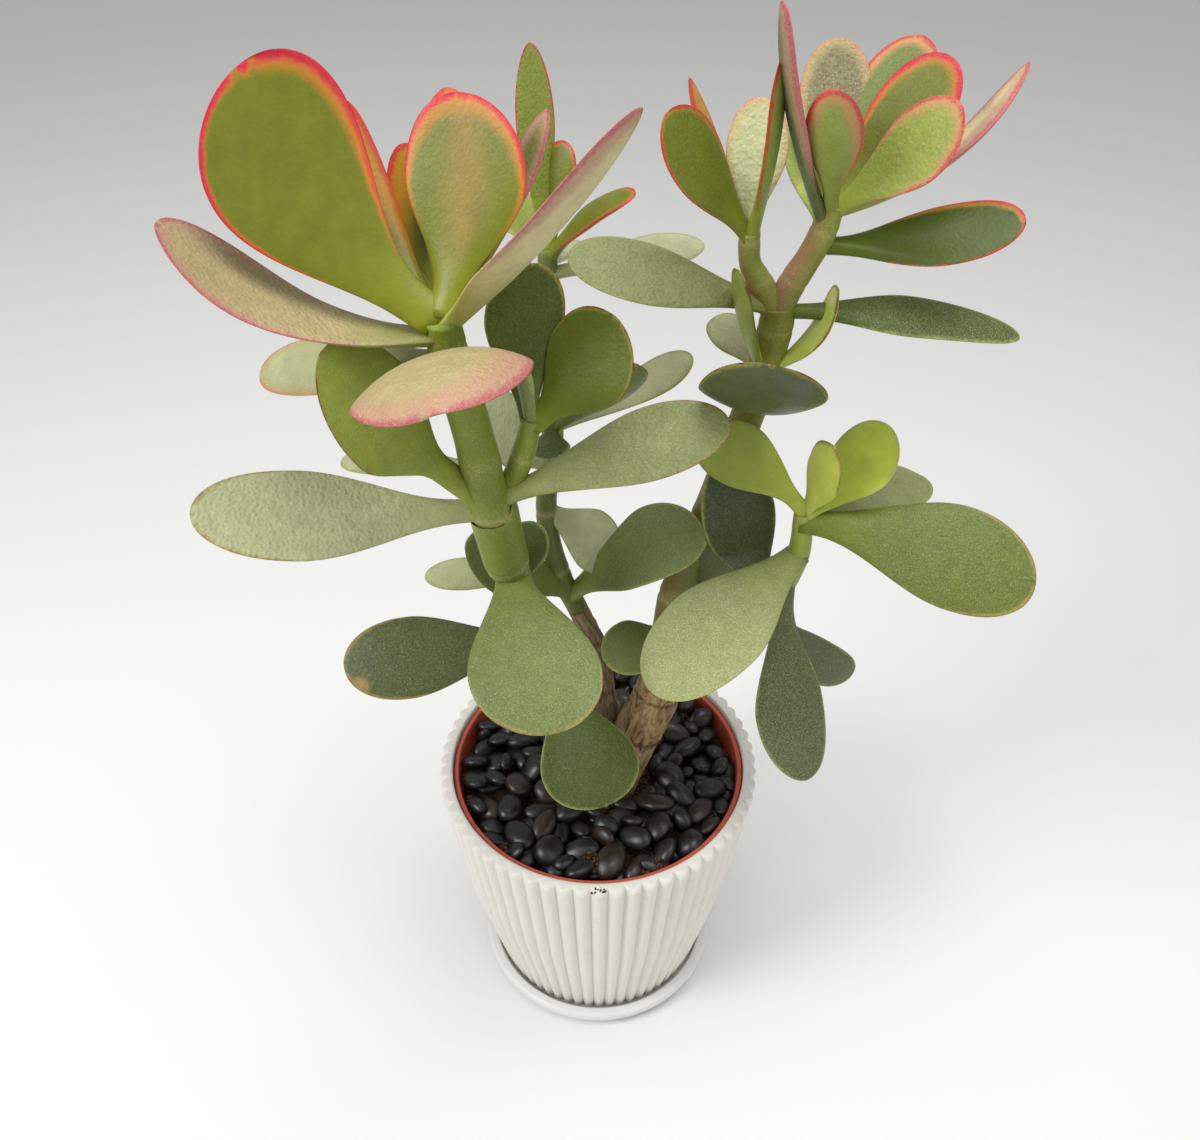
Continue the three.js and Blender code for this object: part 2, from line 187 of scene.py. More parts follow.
# Stems: x, y, z and radius along each one.
WOOD = {
    "right": [
        (5, -5, 100, 10), (6, -5, 111, 9.6), (14, -3, 135, 9.4),
        (21, -1, 153, 8.8), (25, 0.2, 172, 7.6), (25.6, 0.8, 181, 7),
    ],
    "rear": [
        (5, -3, 102, 6), (6, 1, 120, 5), (3, 5, 146, 4.4),
        (0, 11, 167, 4), (-7, 16, 183, 3.8),
    ],
    "front": [(4, -7, 102, 8), (2, -10, 111, 7.6), (-4, -12, 134, 7), (-8, -14, 150, 6.8)],
}
STEMS = {
    "front": [
        (-8.1, -14.1, 150.7, 6.6), (-13, -16, 174, 6.4), (-21, -20, 203, 6.2),
        (-26, -24, 233, 5.6), (-28, -26, 244, 6.8), (-30, -28, 262, 7.2),
        (-31, -29, 267, 6), (-34, -32, 294, 5.5), (-37, -36, 317, 5), (-38, -38, 330, 4.6),
    ],
    "front_side": [(-29, -27, 264, 3.4), (-25, -26, 271, 3.4), (-21, -26, 281, 3.3), (-18, -26, 293, 2.8)],
    "rear": [
        (-7.3, 16.2, 183.4, 3.8), (-14, 20, 199, 3.8), (-18, 24, 223, 3.6),
        (-15, 28, 255, 3.6), (-16, 31, 290, 3.2), (-15, 33, 316, 3),
    ],
    "right": [
        (25.62, 0.82, 181.4, 6.8), (26, 1.2, 187, 6.6), (27.5, 2, 203, 6.2),
        (36, 4, 235, 5.6), (43, 6, 261, 5.4), (49, 7, 284, 5), (52, 8, 303, 5), (52, 8, 310, 4.6),
    ],
    "right_left": [(51.5, 8, 307, 3.8), (47, 8, 316, 3.6), (43, 8, 323, 3.1), (42, 8, 332, 2.9)],
    "right_right": [
        (52, 8, 307, 4), (55, 8, 316, 3.9), (59, 8, 324, 3.7), (62, 8, 331, 3.7), (64, 8, 340, 3.2),
    ],
    "lower": [
        (27, 2, 200, 3.6), (38, -1, 201, 3.6), (47, -4, 205, 3.6),
        (59, -9, 213, 3.6), (64, -12, 232, 3.6), (64, -12, 250, 3),
    ],
}
# Heights of the rings that fallen leaves left, by stem.
SCARS = {
    "front": (176, 203, 242, 265, 283, 322),
    "front_side": (281,),
    "rear": (199, 223, 255, 289),
    "right": (187, 203, 235, 261, 287, 303),
    "right_left": (318, 330),
    "right_right": (318, 333),
    "lower": (204, 213, 232, 248),
}
# Colours of a stem low down, high up, and on its sunny left side.
STEM_COLOURS = {
    "front": ("#6A7226", "#6E7E16", "#788418"),
    "front_side": ("#72821C", "#7C8A20", "#7C8A20"),
    "rear": ("#5C642C", "#6A742C", "#6A742C"),
    "right": ("#56621E", "#7E8222", "#86722E"),
    "right_left": ("#8A8A3C", "#84922C", "#A87A58"),
    "right_right": ("#94884A", "#84922C", "#B0705E"),
    "lower": ("#6A7A2C", "#9AA83A", "#9AA83A"),
}

# Colours of the ring that a fallen leaf leaves, and of the haze on a leaf's underside.
SCAR_COLOUR = "#A39A5C"
UNDERSIDE = "#B9BF96"
# A stem has no margin: distance from it in millimetres, and width of tint and glow with their strength.
FAR_FROM_MARGIN = 50.0
UNSUNNED = (0.5, 1.0, 0.0)

F, E = Flesh, Edge
LEAVES = {
    "front": [
        Leaf(329, -80, -20, 384, 40, 4, -40, 0.05, -0.1, 0.72, F.OLIVE, E.SUN, 0.05, 0.1, 0.5, 0.1),
        Leaf(325, -99, -45, 357, 30, 4, 0, 0.14, 0, 0.72, F.TAN, E.PINK, 0.5, 0.8, 0, 0),
        Leaf(330, -31, -15, 376, 31, 4, 0, 0.03, 0.05, 0.64, F.OLIVE, E.GOLD, 0.1, 0.1, 0, 0.1, "#9C7C3A"),
        Leaf(327, 10, -35, 379, 26, 4, -30, 0.03, 0, 0.3, F.CREAM, E.PINK, 0.55, 0.7, 0.3, 0),
        Leaf(330, -49, 0, 359, 16, 3, -20, 0.05, 0, 0.6, F.OLIVE, E.FLAME, 0.1, 0.1),
        Leaf(331, -49, 2, 354, 14, 3, 0, 0.05, 0, 0.6, F.OLIVE, E.FLAME, 0.1, 0.1),
        Leaf(329, -63, -4, 371, 13, 3.4, -20, 0.05, -0.06, 0.62, F.OLIVE, E.FLAME, 0.1, 0.1),
        Leaf(330, -37, 5, 371, 16, 3.4, 0, 0.05, 0, 0.62, F.OLIVE, E.FLAME, 0.2, 0.2),
        Leaf(329, -12, -8, 370, 14, 3.4, -20, 0.04, 0, 0.7, F.OLIVE, E.PINK, 0.4, 0.3, -0.5),
        Leaf(312, -33, -91, 336, 43, 5, 12, -0.12, 0, 0.55, F.TAN, E.ROSE, 0.5, 0.7, -0.5, 0.06, "", -0.22),
        Leaf(266, -66, -50, 327, 30, 4, -60, 0.03, -0.02, 0.64, F.BRIGHT, E.LINE, 0.35, 0.3, 0, 0.3),
        Leaf(318, -95, -10, 299, 20, 4, -30, 0, 0, 0.66, F.PALE, E.BLUSH, 0.6, 0.6),
        Leaf(264, -111, -45, 275, 28, 5, -30, 0.05, 0, 0.66, F.FROST, E.HINT, 0.7, 1.0, 0, 0.1),
        Leaf(280, -81, 5, 258, 13, 4, -15, 0, 0, 0.6, F.FROST, E.NONE, 0.8, 0.7),
        Leaf(267, 37, -24, 291, 25, 5, 20, -0.02, 0, 0.68, F.SAGE, E.HINT, 0.6, 0.8, 0, 0.1),
        Leaf(236, -12, -75, 219, 39, 5.4, 0, -0.06, 0.03, 0.66, F.MOSS, E.HINT, 0.6, 0.5, 0, 0, "", 0.04,
             mark=(0.04, 0, 5, "#8E5A40")),
        Leaf(174, 3, -50, 153, 35, 5.4, 0, -0.04, 0.02, 0.66, F.DEEP, E.NONE, 0.3, 0.3, 0, 0, "", 0.04),
        Leaf(203, -83, -30, 200, 27, 6, -40, -0.02, 0, 0.66, F.DUSK, E.HINT, 0.4, 0.3, 0, 0.06, "", 0.04,
             mark=(0.92, -0.7, 4, "#B08A4E")),
        Leaf(228, -21, -6, 242, 15, 4, 0, 0, 0, 0.6, F.DEEP, E.NONE, 0.2, 0.2),
    ],
    "front_side": [
        Leaf(291, 5, -20, 321, 27, 4, 42, 0.04, 0.05, 0.62, F.GRASS, E.LINE, 0.1, 0.15, 0, 0.12),
        Leaf(292, -17, -5, 329, 22, 3.6, 0, 0.04, -0.06, 0.66, F.DEEP, E.LINE, 0.2, 0.2),
        Leaf(292, -20, -28, 314, 6, 3, 0, 0, 0, 0.5, F.MOSS, E.NONE, 0.3, 0.3),
    ],
    "rear": [
        Leaf(314, -19, 48, 370, 17, 3.6, 40, 0.02, 0, 0.62, F.BRIGHT, E.EMBER, 0.4, 0.5, 0.8),
        Leaf(315, -10, 45, 344, 11, 3.4, 0, 0.02, 0, 0.74, F.OLIVE, E.EMBER, 0.1, 0.1),
        Leaf(312, 11, 25, 336, 14, 3.6, 15, -0.08, 0, 0.6, F.OLIVE, E.EMBER, 0.15, 0.2),
        Leaf(308, 33, 40, 314, 16, 4, 15, 0, 0, 0.7, F.MIST, E.NONE, 0.8, 0.6),
        Leaf(314, -32, 66, 322, 18, 3.6, 0, 0.03, 0, 0.66, F.BRIGHT, E.BLUSH, 0.4, 0.3),
        Leaf(312, -7, 70, 302, 8, 3.6, 0, 0.03, 0, 0.66, F.MIST, E.BLUSH, 0.4, 0.3),
        Leaf(240, -36, 8, 275, 24, 4, -60, 0, 0, 0.66, F.MIST, E.NONE, 0.8, 0.8),
        Leaf(255, 13, 10, 289, 18, 4, -45, 0.02, 0, 0.66, F.MOSS, E.LINE, 0.4, 0.4),
        Leaf(255, 31, 35, 278, 12, 4, 45, 0, 0.02, 0.74, F.MIST, E.NONE, 0.7, 0.7),
        Leaf(254, -16, 0, 261, 14, 4, 0, 0, 0, 0.6, F.SHADE, E.NONE, 0.3, 0.3),
        Leaf(190, -44, 0, 227, 24, 4, -50, 0, 0, 0.62, F.MOSS, E.NONE, 0.4, 0.3),
        Leaf(200, -62, 15, 200, 13, 4.4, -25, 0, 0, 0.66, F.FROST, E.NONE, 0.8, 0.5),
        Leaf(224, 8, 24, 200, 24, 4, 30, 0, 0, 0.6, F.MIST, E.NONE, 0.8, 0.6),
        Leaf(189, 34, -16, 241, 30, 5, 40, 0, -0.1, 0.54, F.MOSS, E.NONE, 0.6, 0.6, 0, 0),
    ],
    "right": [
        Leaf(308, 121, 0, 304, 14, 4.4, 25, -0.05, 0, 0.54, F.DEEP, E.NONE, 0.5, 0.5),
        Leaf(309, -8, 0, 328, 21, 5, -30, -0.01, 0, 0.7, F.SAGE, E.NONE, 0.6, 0.9),
        Leaf(289, 67, 0, 319, 16, 3, 20, 0.14, 0, 0.66, F.SPRING, E.LINE, 0.3, 0.2),
        Leaf(289, 38, -5, 327, 13, 3, -25, 0.04, 0, 0.6, F.LIME, E.LINE, 0.3, 0.2),
        Leaf(289, 37, 30, 295, 14, 4, -15, 0, 0, 0.66, F.MIST, E.NONE, 0.9, 0.6),
        Leaf(280, 44, -40, 318, 35, 4.6, -5, 0.1, 0, 0.6, F.SHADE, E.LINE, 0.1, 0.3),
        Leaf(187, 2, -14, 187, 20, 4.6, -30, 0, 0, 0.55, F.MOSS, E.NONE, 0.3, 0.3),
    ],
    "right_left": [
        Leaf(330, 17, 0, 366, 21, 3.6, -55, 0.03, 0.02, 0.64, F.OLIVE, E.EMBER, 0.25, 0.2, 0.4),
        Leaf(330, 25, 30, 366, 12, 3, 30, 0.03, 0, 0.6, F.BRIGHT, E.FLAME, 0.1, 0.1),
        Leaf(331, 45, 30, 361, 17, 3.4, 0, 0.03, 0, 0.62, F.PALE, E.BLUSH, 0.6, 0.8),
        Leaf(330, 45, 0, 380, 18, 3.4, 54, 0.03, 0, 0.6, F.BRIGHT, E.EMBER, 0.2, 0.2),
    ],
    "right_right": [
        Leaf(334, 43, -5, 393, 16, 3.6, -25, 0.04, 0, 0.6, F.DUSK, E.PINK, 0.5, 0.4, -0.9),
        Leaf(337, 67, 45, 372, 20, 3.6, 0, 0.04, 0, 0.66, F.BRONZE, E.BLUSH, 0.5, 0.8),
        Leaf(333, 57, 40, 350, 12, 3.6, 0, 0.04, 0, 0.6, F.LIME, E.NONE, 0.7, 0.5),
        Leaf(338, 57, -10, 375, 15, 3.6, 0, 0.04, 0, 0.66, F.BRIGHT, E.CORAL, 0.3, 0.2, 0, 0.16),
        Leaf(339, 88, 40, 374, 22, 3.8, 0, 0.04, 0, 0.66, F.MOSS, E.CORAL, 0.3, 0.2),
        Leaf(339, 92, 20, 374, 21, 3.8, 30, 0.04, 0, 0.66, F.OLIVE, E.SUN, 0.2, 0.2),
        Leaf(338, 91, 0, 368, 20, 3.8, 50, 0.04, 0.02, 0.66, F.BRIGHT, E.CORAL, 0.5, 0.4),
        Leaf(338, 116, 30, 370, 11, 3.6, -15, 0.12, 0, 0.6, F.CREAM, E.PINK, 0.4, 0.3, 0.5),
        Leaf(328, 114, 0, 339, 20, 4.4, 30, 0.07, 0, 0.64, F.DEEP, E.EMBER, 0, 0.1, -0.95,
             mark=(0.96, -0.5, 2.5, "#2E1A18")),
    ],
    "lower": [
        Leaf(250, 30, -9, 276, 20, 4, -50, -0.05, 0.06, 0.7, F.LIME, E.NONE, 0.2, 0.1, 0, 0.12),
        Leaf(249, 89, 0, 274, 25, 3.6, 0, 0.04, 0.05, 0.66, F.LIME, E.NONE, 0.1, 0.1),
        Leaf(249, 69, -15, 277, 17, 3, 55, 0.06, 0, 0.6, F.SPRING, E.HINT, 0.1, 0.1),
        Leaf(247, 129, -40, 243, 32, 5, 40, -0.03, -0.03, 0.66, F.GRASS, E.HINT, 0.4, 0.4, 0, 0.06, "", 0.05),
        Leaf(243, 110, 25, 238, 27, 4.4, 0, 0, 0, 0.7, F.SAGE, E.NONE, 0.8, 0.6),
        Leaf(233, 17, -55, 214, 35, 5.4, 0, -0.04, 0, 0.6, F.SAGE, E.NONE, 1.0, 0.5, 0, 0, "", 0.04),
        Leaf(224, 75, -35, 149, 27, 5, 0, 0, 0.07, 0.6, F.DUSK, E.NONE, 0.7, 0.4, 0, 0.12, "", 0.04,
             mark=(0.24, 0.1, 2.4, "#4E2418")),
        Leaf(210, 99, 15, 152, 17, 4.6, 60, 0, 0.08, 0.62, F.DUSK, E.NONE, 0.5, 0.4),
        Leaf(211, 37, -11, 268, 25, 4.4, -75, 0, 0, 0.62, F.SHADE, E.NONE, 0.3, 0.3),
        Leaf(201, 38, -6, 237, 23, 4.6, -45, 0, 0, 0.56, F.DUSK, E.NONE, 0.4, 0.3),
    ],
}


def linear(code: str) -> tuple[float, float, float, float]:
    """Turns an sRGB hex colour into linear RGBA.

    Args:
        code: colour such as "#8A8F2E".

    Returns:
        Linear red, green, blue and an alpha of 1.
    """
    parts = [int(code[i : i + 2], 16) / 255 for i in (1, 3, 5)]
    lit = [c / 12.92 if c <= 0.04045 else ((c + 0.055) / 1.055) ** 2.4 for c in parts]
    return (lit[0], lit[1], lit[2], 1.0)


def add_node(tree: NodeTree, kind: str, settings: dict | None = None, inputs: dict | None = None) -> Node:
    """Adds a node with its settings, and links or sets its inputs.

    Args:
        tree: node tree to add to.
        kind: the node's type name.
        settings: property values by name.
        inputs: sockets to link or values to set, by input name or number.

    Returns:
        The new node.
    """
    node = tree.nodes.new(kind)
    for name, value in (settings or {}).items():
        setattr(node, name, value)
    feed(tree, node, inputs or {})
    return node


def feed(tree: NodeTree, node: Node, inputs: dict) -> None:
    """Links a node's inputs to sockets, or sets constant ones directly.

    Args:
        tree: the node's tree.
        node: the node.
        inputs: sockets to link or values to set, by input name or number.
    """
    for key, value in inputs.items():
        if isinstance(value, NodeSocket):
            tree.links.new(value, node.inputs[key])
        else:
            node.inputs[key].default_value = value


def math_node(tree: NodeTree, operation: str, *values: object) -> NodeSocket:
    """Adds a math node and gives its result.

    Args:
        tree: node tree to add to.
        operation: the math operation's name.
        values: sockets or numbers for its inputs.

    Returns:
        The node's output.
    """
    inputs = dict(enumerate(values))
    return add_node(tree, "ShaderNodeMath", {"operation": operation}, inputs).outputs[0]


def times(tree: NodeTree, a: object, b: object) -> NodeSocket:
    """Product of two sockets or numbers."""
    return math_node(tree, "MULTIPLY", a, b)


def plus(tree: NodeTree, a: object, b: object) -> NodeSocket:
    """Sum of two sockets or numbers."""
    return math_node(tree, "ADD", a, b)


def minus(tree: NodeTree, a: object, b: object) -> NodeSocket:
    """First socket or number less the second."""
    return math_node(tree, "SUBTRACT", a, b)


def blend_colours(tree: NodeTree, factor: object, a: object, b: object) -> NodeSocket:
    """Mixes two colours.

    Args:
        tree: node tree to add to.
        factor: socket or number, 0 for a and 1 for b.
        a: socket or colour.
        b: socket or colour.

    Returns:
        The mixed colour's output.
    """
    node = add_node(tree, "ShaderNodeMix", {"data_type": "RGBA"}, {0: factor, 6: a, 7: b})
    return node.outputs[2]


def shaded(tree: NodeTree, colour: object, pattern: object) -> NodeSocket:
    """Makes a colour up to a quarter darker or lighter after a pattern.

    Args:
        tree: node tree to add to.
        colour: socket of the colour.
        pattern: socket from 0 to 1.

    Returns:
        The uneven colour's output.
    """
    value = math_node(tree, "MULTIPLY_ADD", pattern, 0.5, 0.75)
    grey = add_node(tree, "ShaderNodeCombineColor", None, {0: value, 1: value, 2: value}).outputs[0]
    settings = {"data_type": "RGBA", "blend_type": "MULTIPLY"}
    return add_node(tree, "ShaderNodeMix", settings, {0: 1.0, 6: colour, 7: grey}).outputs[2]


def ramp(tree: NodeTree, value: object, low: object, high: object) -> NodeSocket:
    """Smooth step of a value from 0 at low to 1 at high; low may be above high.

    Args:
        tree: node tree to add to.
        value: socket to read.
        low: socket or number where the result is 0.
        high: socket or number where the result is 1.

    Returns:
        The step's output.
    """
    inputs = {0: value, 1: low, 2: high, 3: 0.0, 4: 1.0}
    return add_node(tree, "ShaderNodeMapRange", {"interpolation_type": "SMOOTHSTEP"}, inputs).outputs[0]


def read(tree: NodeTree, name: str) -> Node:
    """Adds a node that reads a mesh attribute."""
    return add_node(tree, "ShaderNodeAttribute", {"attribute_name": name})


def noise_node(tree: NodeTree, place: object, grain: float, detail: float) -> NodeSocket:
    """Noise from 0 to 1.

    Args:
        tree: node tree to add to.
        place: socket of the place on the piece.
        grain: its grain size, in millimetres.
        detail: how many finer layers it has.

    Returns:
        The noise's output.
    """
    scale = 1 / (grain * MM)
    inputs = {"Vector": place, "Scale": scale, "Detail": detail, "Roughness": 0.55}
    return add_node(tree, "ShaderNodeTexNoise", None, inputs).outputs[0]


def specks(tree: NodeTree, place: object, spacing: float, end: float, full: float) -> tuple:
    """One round speck in each cell of a loose grid.

    Args:
        tree: node tree to add to.
        place: socket of the place on the piece.
        spacing: distance between specks, in millimetres.
        end: share of the spacing where a speck ends.
        full: share of the spacing where it is full.

    Returns:
        The specks' output, 0 to 1, and the output of a random number for each.
    """
    cells = add_node(tree, "ShaderNodeTexVoronoi", None, {"Vector": place, "Scale": 1 / (spacing * MM)})
    dot = ramp(tree, cells.outputs["Distance"], end, full)
    chance = add_node(tree, "ShaderNodeSeparateColor", None, {0: cells.outputs["Color"]}).outputs[0]
    return dot, chance


def start_material(name: str) -> tuple[Material, NodeTree, Node, NodeSocket]:
    """Makes a node material with its surface shader.

    Args:
        name: the material's name.

    Returns:
        The material, its node tree, its surface shader node and the socket of the place on the piece.
    """
    material = bpy.data.materials.new(name)
    material.use_nodes = True
    tree = material.node_tree
    tree.nodes.clear()
    shader = add_node(tree, "ShaderNodeBsdfPrincipled")
    output = add_node(tree, "ShaderNodeOutputMaterial")
    tree.links.new(shader.outputs["BSDF"], output.inputs["Surface"])
    place = add_node(tree, "ShaderNodeTexCoord").outputs["Object"]
    return material, tree, shader, place


def bumped(tree: NodeTree, shader: Node, height: NodeSocket, depth: float) -> None:
    """Gives the shader a bump from a height pattern.

    Args:
        tree: the material's node tree.
        shader: the surface shader.
        height: pattern from 0 to 1.
        depth: how high 1 is, in millimetres.
    """
    bump = add_node(tree, "ShaderNodeBump", None, {"Strength": 1.0, "Distance": depth * MM, "Height": height})
    tree.links.new(bump.outputs["Normal"], shader.inputs["Normal"])


@dataclass(frozen=True)
class JadeSkin:
    """Living leaf and stem skin: waxy cuticle over watery flesh.

    The cuticle gives a soft broad gloss. Where it is mealy, wax flakes scatter light as fine pale
    specks that lie in loose clumps, over a thinner powder. Real flakes are near 0.1 mm; flakes and
    powder are drawn at about 0.45 mm so that they show.

    Args:
        speck: distance between flakes, in millimetres.
        frost: grain of the powder, in millimetres.
        clump: size of the clumps, in millimetres.
        pimple: distance between the pimples of pebbled skin, in millimetres.
        crinkle: size of the folds of crinkled skin, in millimetres.
        roughness: roughness of the cuticle.
        powder: colour of the powder.
        flake: colour of the flakes.
    """

    speck: float = 0.46
    frost: float = 0.5
    clump: float = 3.6
    pimple: float = 1.15
    crinkle: float = 2.6
    roughness: float = 0.4
    powder: str = "#C3C79A"
    flake: str = "#E2E6C6"

    def make(self) -> Material:
        """Builds the material.

        Returns:
            Material that reads the flesh, rim, blush, tint, glow and wax attributes.
        """
        material, tree, shader, place = start_material("waxy jade skin, grown")
        wax = add_node(tree, "ShaderNodeSeparateXYZ", None, {0: read(tree, "wax").outputs["Vector"]})
        bloom, pebbled = wax.outputs[0], wax.outputs[1]
        fine = noise_node(tree, place, 1.1, 2.0)
        sunned = self._sunned(tree, place, fine)
        feed(tree, shader, {
            "Base Color": self._mealy(tree, place, sunned, bloom),
            "Roughness": math_node(tree, "MULTIPLY_ADD", bloom, 0.3, self.roughness - 0.06),
            "IOR": 1.42,
            "Specular IOR Level": 0.38,
            "Subsurface Weight": 0.06,
            "Subsurface Radius": (0.002, 0.002, 0.0006),
            "Subsurface Scale": 0.6,
        })
        bumped(tree, shader, self._relief(tree, place, fine, pebbled), 0.34)
        return material

    @staticmethod
    def _sunned(tree: NodeTree, place: object, fine: object) -> NodeSocket:
        """Colour of the flesh, with the glow and the tint that the sun gives its margin.

        Args:
            tree: the material's node tree.
            place: socket of the place on the leaf.
            fine: fine noise that frays both bands.

        Returns:
            The colour's output.
        """
        blush = add_node(tree, "ShaderNodeSeparateXYZ", None, {0: read(tree, "blush").outputs["Vector"]})
        tint_width, glow_width, strength = (blush.outputs[i] for i in range(3))
        mottle = noise_node(tree, place, 5.0, 3.0)
        uneven = times(tree, minus(tree, mottle, 0.5), 1.6)
        frayed = times(tree, minus(tree, fine, 0.5), 0.9)
        depth = plus(tree, plus(tree, read(tree, "rim").outputs["Fac"], uneven), frayed)
        colour = shaded(tree, read(tree, "flesh").outputs["Color"], mottle)
        for name, width, full in (("glow", glow_width, 0.25), ("tint", tint_width, 0.3)):
            band = ramp(tree, depth, width, times(tree, width, full))
            sun = read(tree, name).outputs["Color"]
            colour = blend_colours(tree, times(tree, band, strength), colour, sun)
        return colour

    def _mealy(self, tree: NodeTree, place: object, under: object, bloom: object) -> NodeSocket:
        """Colour under its powder and its flakes.

        Args:
            tree: the material's node tree.
            place: socket of the place on the leaf.
            under: socket of the colour under the wax.
            bloom: socket of how mealy the skin is.

        Returns:
            The colour's output.
        """
        cloud = noise_node(tree, place, 2.2, 4.0)
        frost = ramp(tree, noise_node(tree, place, self.frost, 1.0), 0.42, 0.62)
        dusting = math_node(tree, "MULTIPLY_ADD", frost, 0.24, times(tree, cloud, 0.2))
        powdered = blend_colours(tree, times(tree, bloom, dusting), under, linear(self.powder))
        flake, chance = specks(tree, place, self.speck, 0.36, 0.14)
        rare = minus(tree, 1.0, noise_node(tree, place, self.clump, 2.0))
        often = ramp(tree, chance, rare, plus(tree, rare, 0.35))
        flakes = times(tree, times(tree, flake, often), bloom)
        return blend_colours(tree, times(tree, flakes, 0.8), powdered, linear(self.flake))

    def _relief(self, tree: NodeTree, place: object, fine: object, pebbled: object) -> NodeSocket:
        """Height of the skin: pimples and folds where it is pebbled, and a fine grain all over.

        Args:
            tree: the material's node tree.
            place: socket of the place on the leaf.
            fine: fine noise.
            pebbled: socket of how pebbled the skin is.

        Returns:
            The height's output.
        """
        pimples = add_node(tree, "ShaderNodeTexVoronoi", {"feature": "SMOOTH_F1"},
                           {"Vector": place, "Scale": 1 / (self.pimple * MM), "Smoothness": 0.6})
        pimpled = times(tree, minus(tree, 1.0, pimples.outputs["Distance"]), pebbled)
        folds = noise_node(tree, place, self.crinkle, 2.0)
        crinkled = times(tree, times(tree, folds, pebbled), 1.6)
        return plus(tree, plus(tree, pimpled, crinkled), times(tree, fine, 0.15))


@dataclass(frozen=True)
class JadeBark:
    """Corky bark of an old jade trunk: dry tan fibres that cross over dark brown clefts, matt.

    Args:
        ridge: colour on top of a strand.
        middle: colour of its flanks.
        cleft: colour between strands.
        weathered: grey that the older bark turns to.
    """

    ridge: str = "#B4966A"
    middle: str = "#8A6E4A"
    cleft: str = "#5A4028"
    weathered: str = "#6F675A"

    def make(self) -> Material:
        """Builds the material.

        Returns:
            Material that reads the ridge and age attributes of the trunk meshes.
        """
        material, tree, shader, place = start_material("corky jade bark, grown")
        fine = noise_node(tree, place, 0.6, 4.0)
        frayed = times(tree, minus(tree, fine, 0.5), 0.9)
        level = plus(tree, read(tree, "ridge").outputs["Fac"], frayed)
        low = blend_colours(tree, ramp(tree, level, 0.0, 0.34), linear(self.cleft), linear(self.middle))
        top = blend_colours(tree, ramp(tree, level, 0.3, 0.8), low, linear(self.ridge))
        age = times(tree, read(tree, "age").outputs["Fac"], 0.5)
        greyed = blend_colours(tree, age, top, linear(self.weathered))
        varied = shaded(tree, greyed, noise_node(tree, place, 6.0, 2.0))
        feed(tree, shader, {"Base Color": varied, "Roughness": 0.85})
        bumped(tree, shader, fine, 0.3)
        return material


@dataclass(frozen=True)
class MouldedPlastic:
    """Moulded plastic: even colour, faint orange-peel skin from the mould.

    Args:
        name: the material's name.
        colour: its colour.
        stain: colour of faint dust and soil on it.
        soiling: how much of the stain shows, 0 to 1.
        roughness: roughness of the moulded skin.
    """

    name: str
    colour: str
    stain: str
    soiling: float
    roughness: float

    def make(self) -> Material:
        """Builds the material.

        Returns:
            The material.
        """
        material, tree, shader, place = start_material(self.name)
        dust = ramp(tree, noise_node(tree, place, 9.0, 5.0), 0.5, 0.8)
        dot, chance = specks(tree, place, 2.6, 0.16, 0.06)
        speck = times(tree, dot, ramp(tree, chance, 0.93, 0.97))
        amount = times(tree, math_node(tree, "MAXIMUM", dust, speck), self.soiling)
        colour = blend_colours(tree, amount, linear(self.colour), linear(self.stain))
        feed(tree, shader, {"Base Color": colour, "Roughness": self.roughness, "IOR": 1.5})
        bumped(tree, shader, noise_node(tree, place, 0.7, 2.0), 0.02)
        return material


@dataclass(frozen=True)
class RiverPebble:
    """Tumbled basalt pebbles: charcoal black, a few brown, with the satin skin of a waxed stone."""

    black: str = "#17171A"
    brown: str = "#2A201B"
    # Grey of the patches: partly dust, partly painted sheen.
    grey: str = "#3A3A3B"

    def make(self) -> Material:
        """Builds the material.

        Returns:
            Material that reads each stone's shade attribute.
        """
        material, tree, shader, place = start_material("basalt pebbles, tumbled and waxed")
        shade = read(tree, "shade").outputs["Fac"]
        browner = blend_colours(tree, ramp(tree, shade, 0.7, 0.95), linear(self.black), linear(self.brown))
        veins = noise_node(tree, place, 2.5, 6.0)
        # Grey patches where the noise is high: partly dust, partly painted sheen.
        dust_and_sheen = times(tree, ramp(tree, veins, 0.45, 0.8), 0.5)
        colour = blend_colours(tree, dust_and_sheen, browner, linear(self.grey))
        rough = math_node(tree, "MULTIPLY_ADD", veins, 0.2, 0.24)
        feed(tree, shader, {"Base Color": colour, "Roughness": rough, "IOR": 1.55})
        bumped(tree, shader, noise_node(tree, place, 0.5, 3.0), 0.05)
        return material


@dataclass(frozen=True)
class PottingSoil:
    """Peat and coir compost: dark crumbs with rust-brown fibres, fully matt."""

    dark: str = "#23170F"
    rust: str = "#7E5A36"

    def make(self) -> Material:
        """Builds the material.

        Returns:
            The material.
        """
        material, tree, shader, place = start_material("peat and coir compost, loose")
        grains = noise_node(tree, place, 1.1, 5.0)
        colour = blend_colours(tree, ramp(tree, grains, 0.42, 0.72), linear(self.dark), linear(self.rust))
        feed(tree, shader, {"Base Color": colour, "Roughness": 0.95})
        bumped(tree, shader, grains, 0.5)
        return material


def put_in_scene(name: str, data: ID) -> Object:
    """Makes an object from its data and links it to the scene.

    Args:
        name: the object's name.
        data: its mesh, light or camera.

    Returns:
        The object.
    """
    made = bpy.data.objects.new(name, data)
    bpy.context.scene.collection.objects.link(made)
    return made


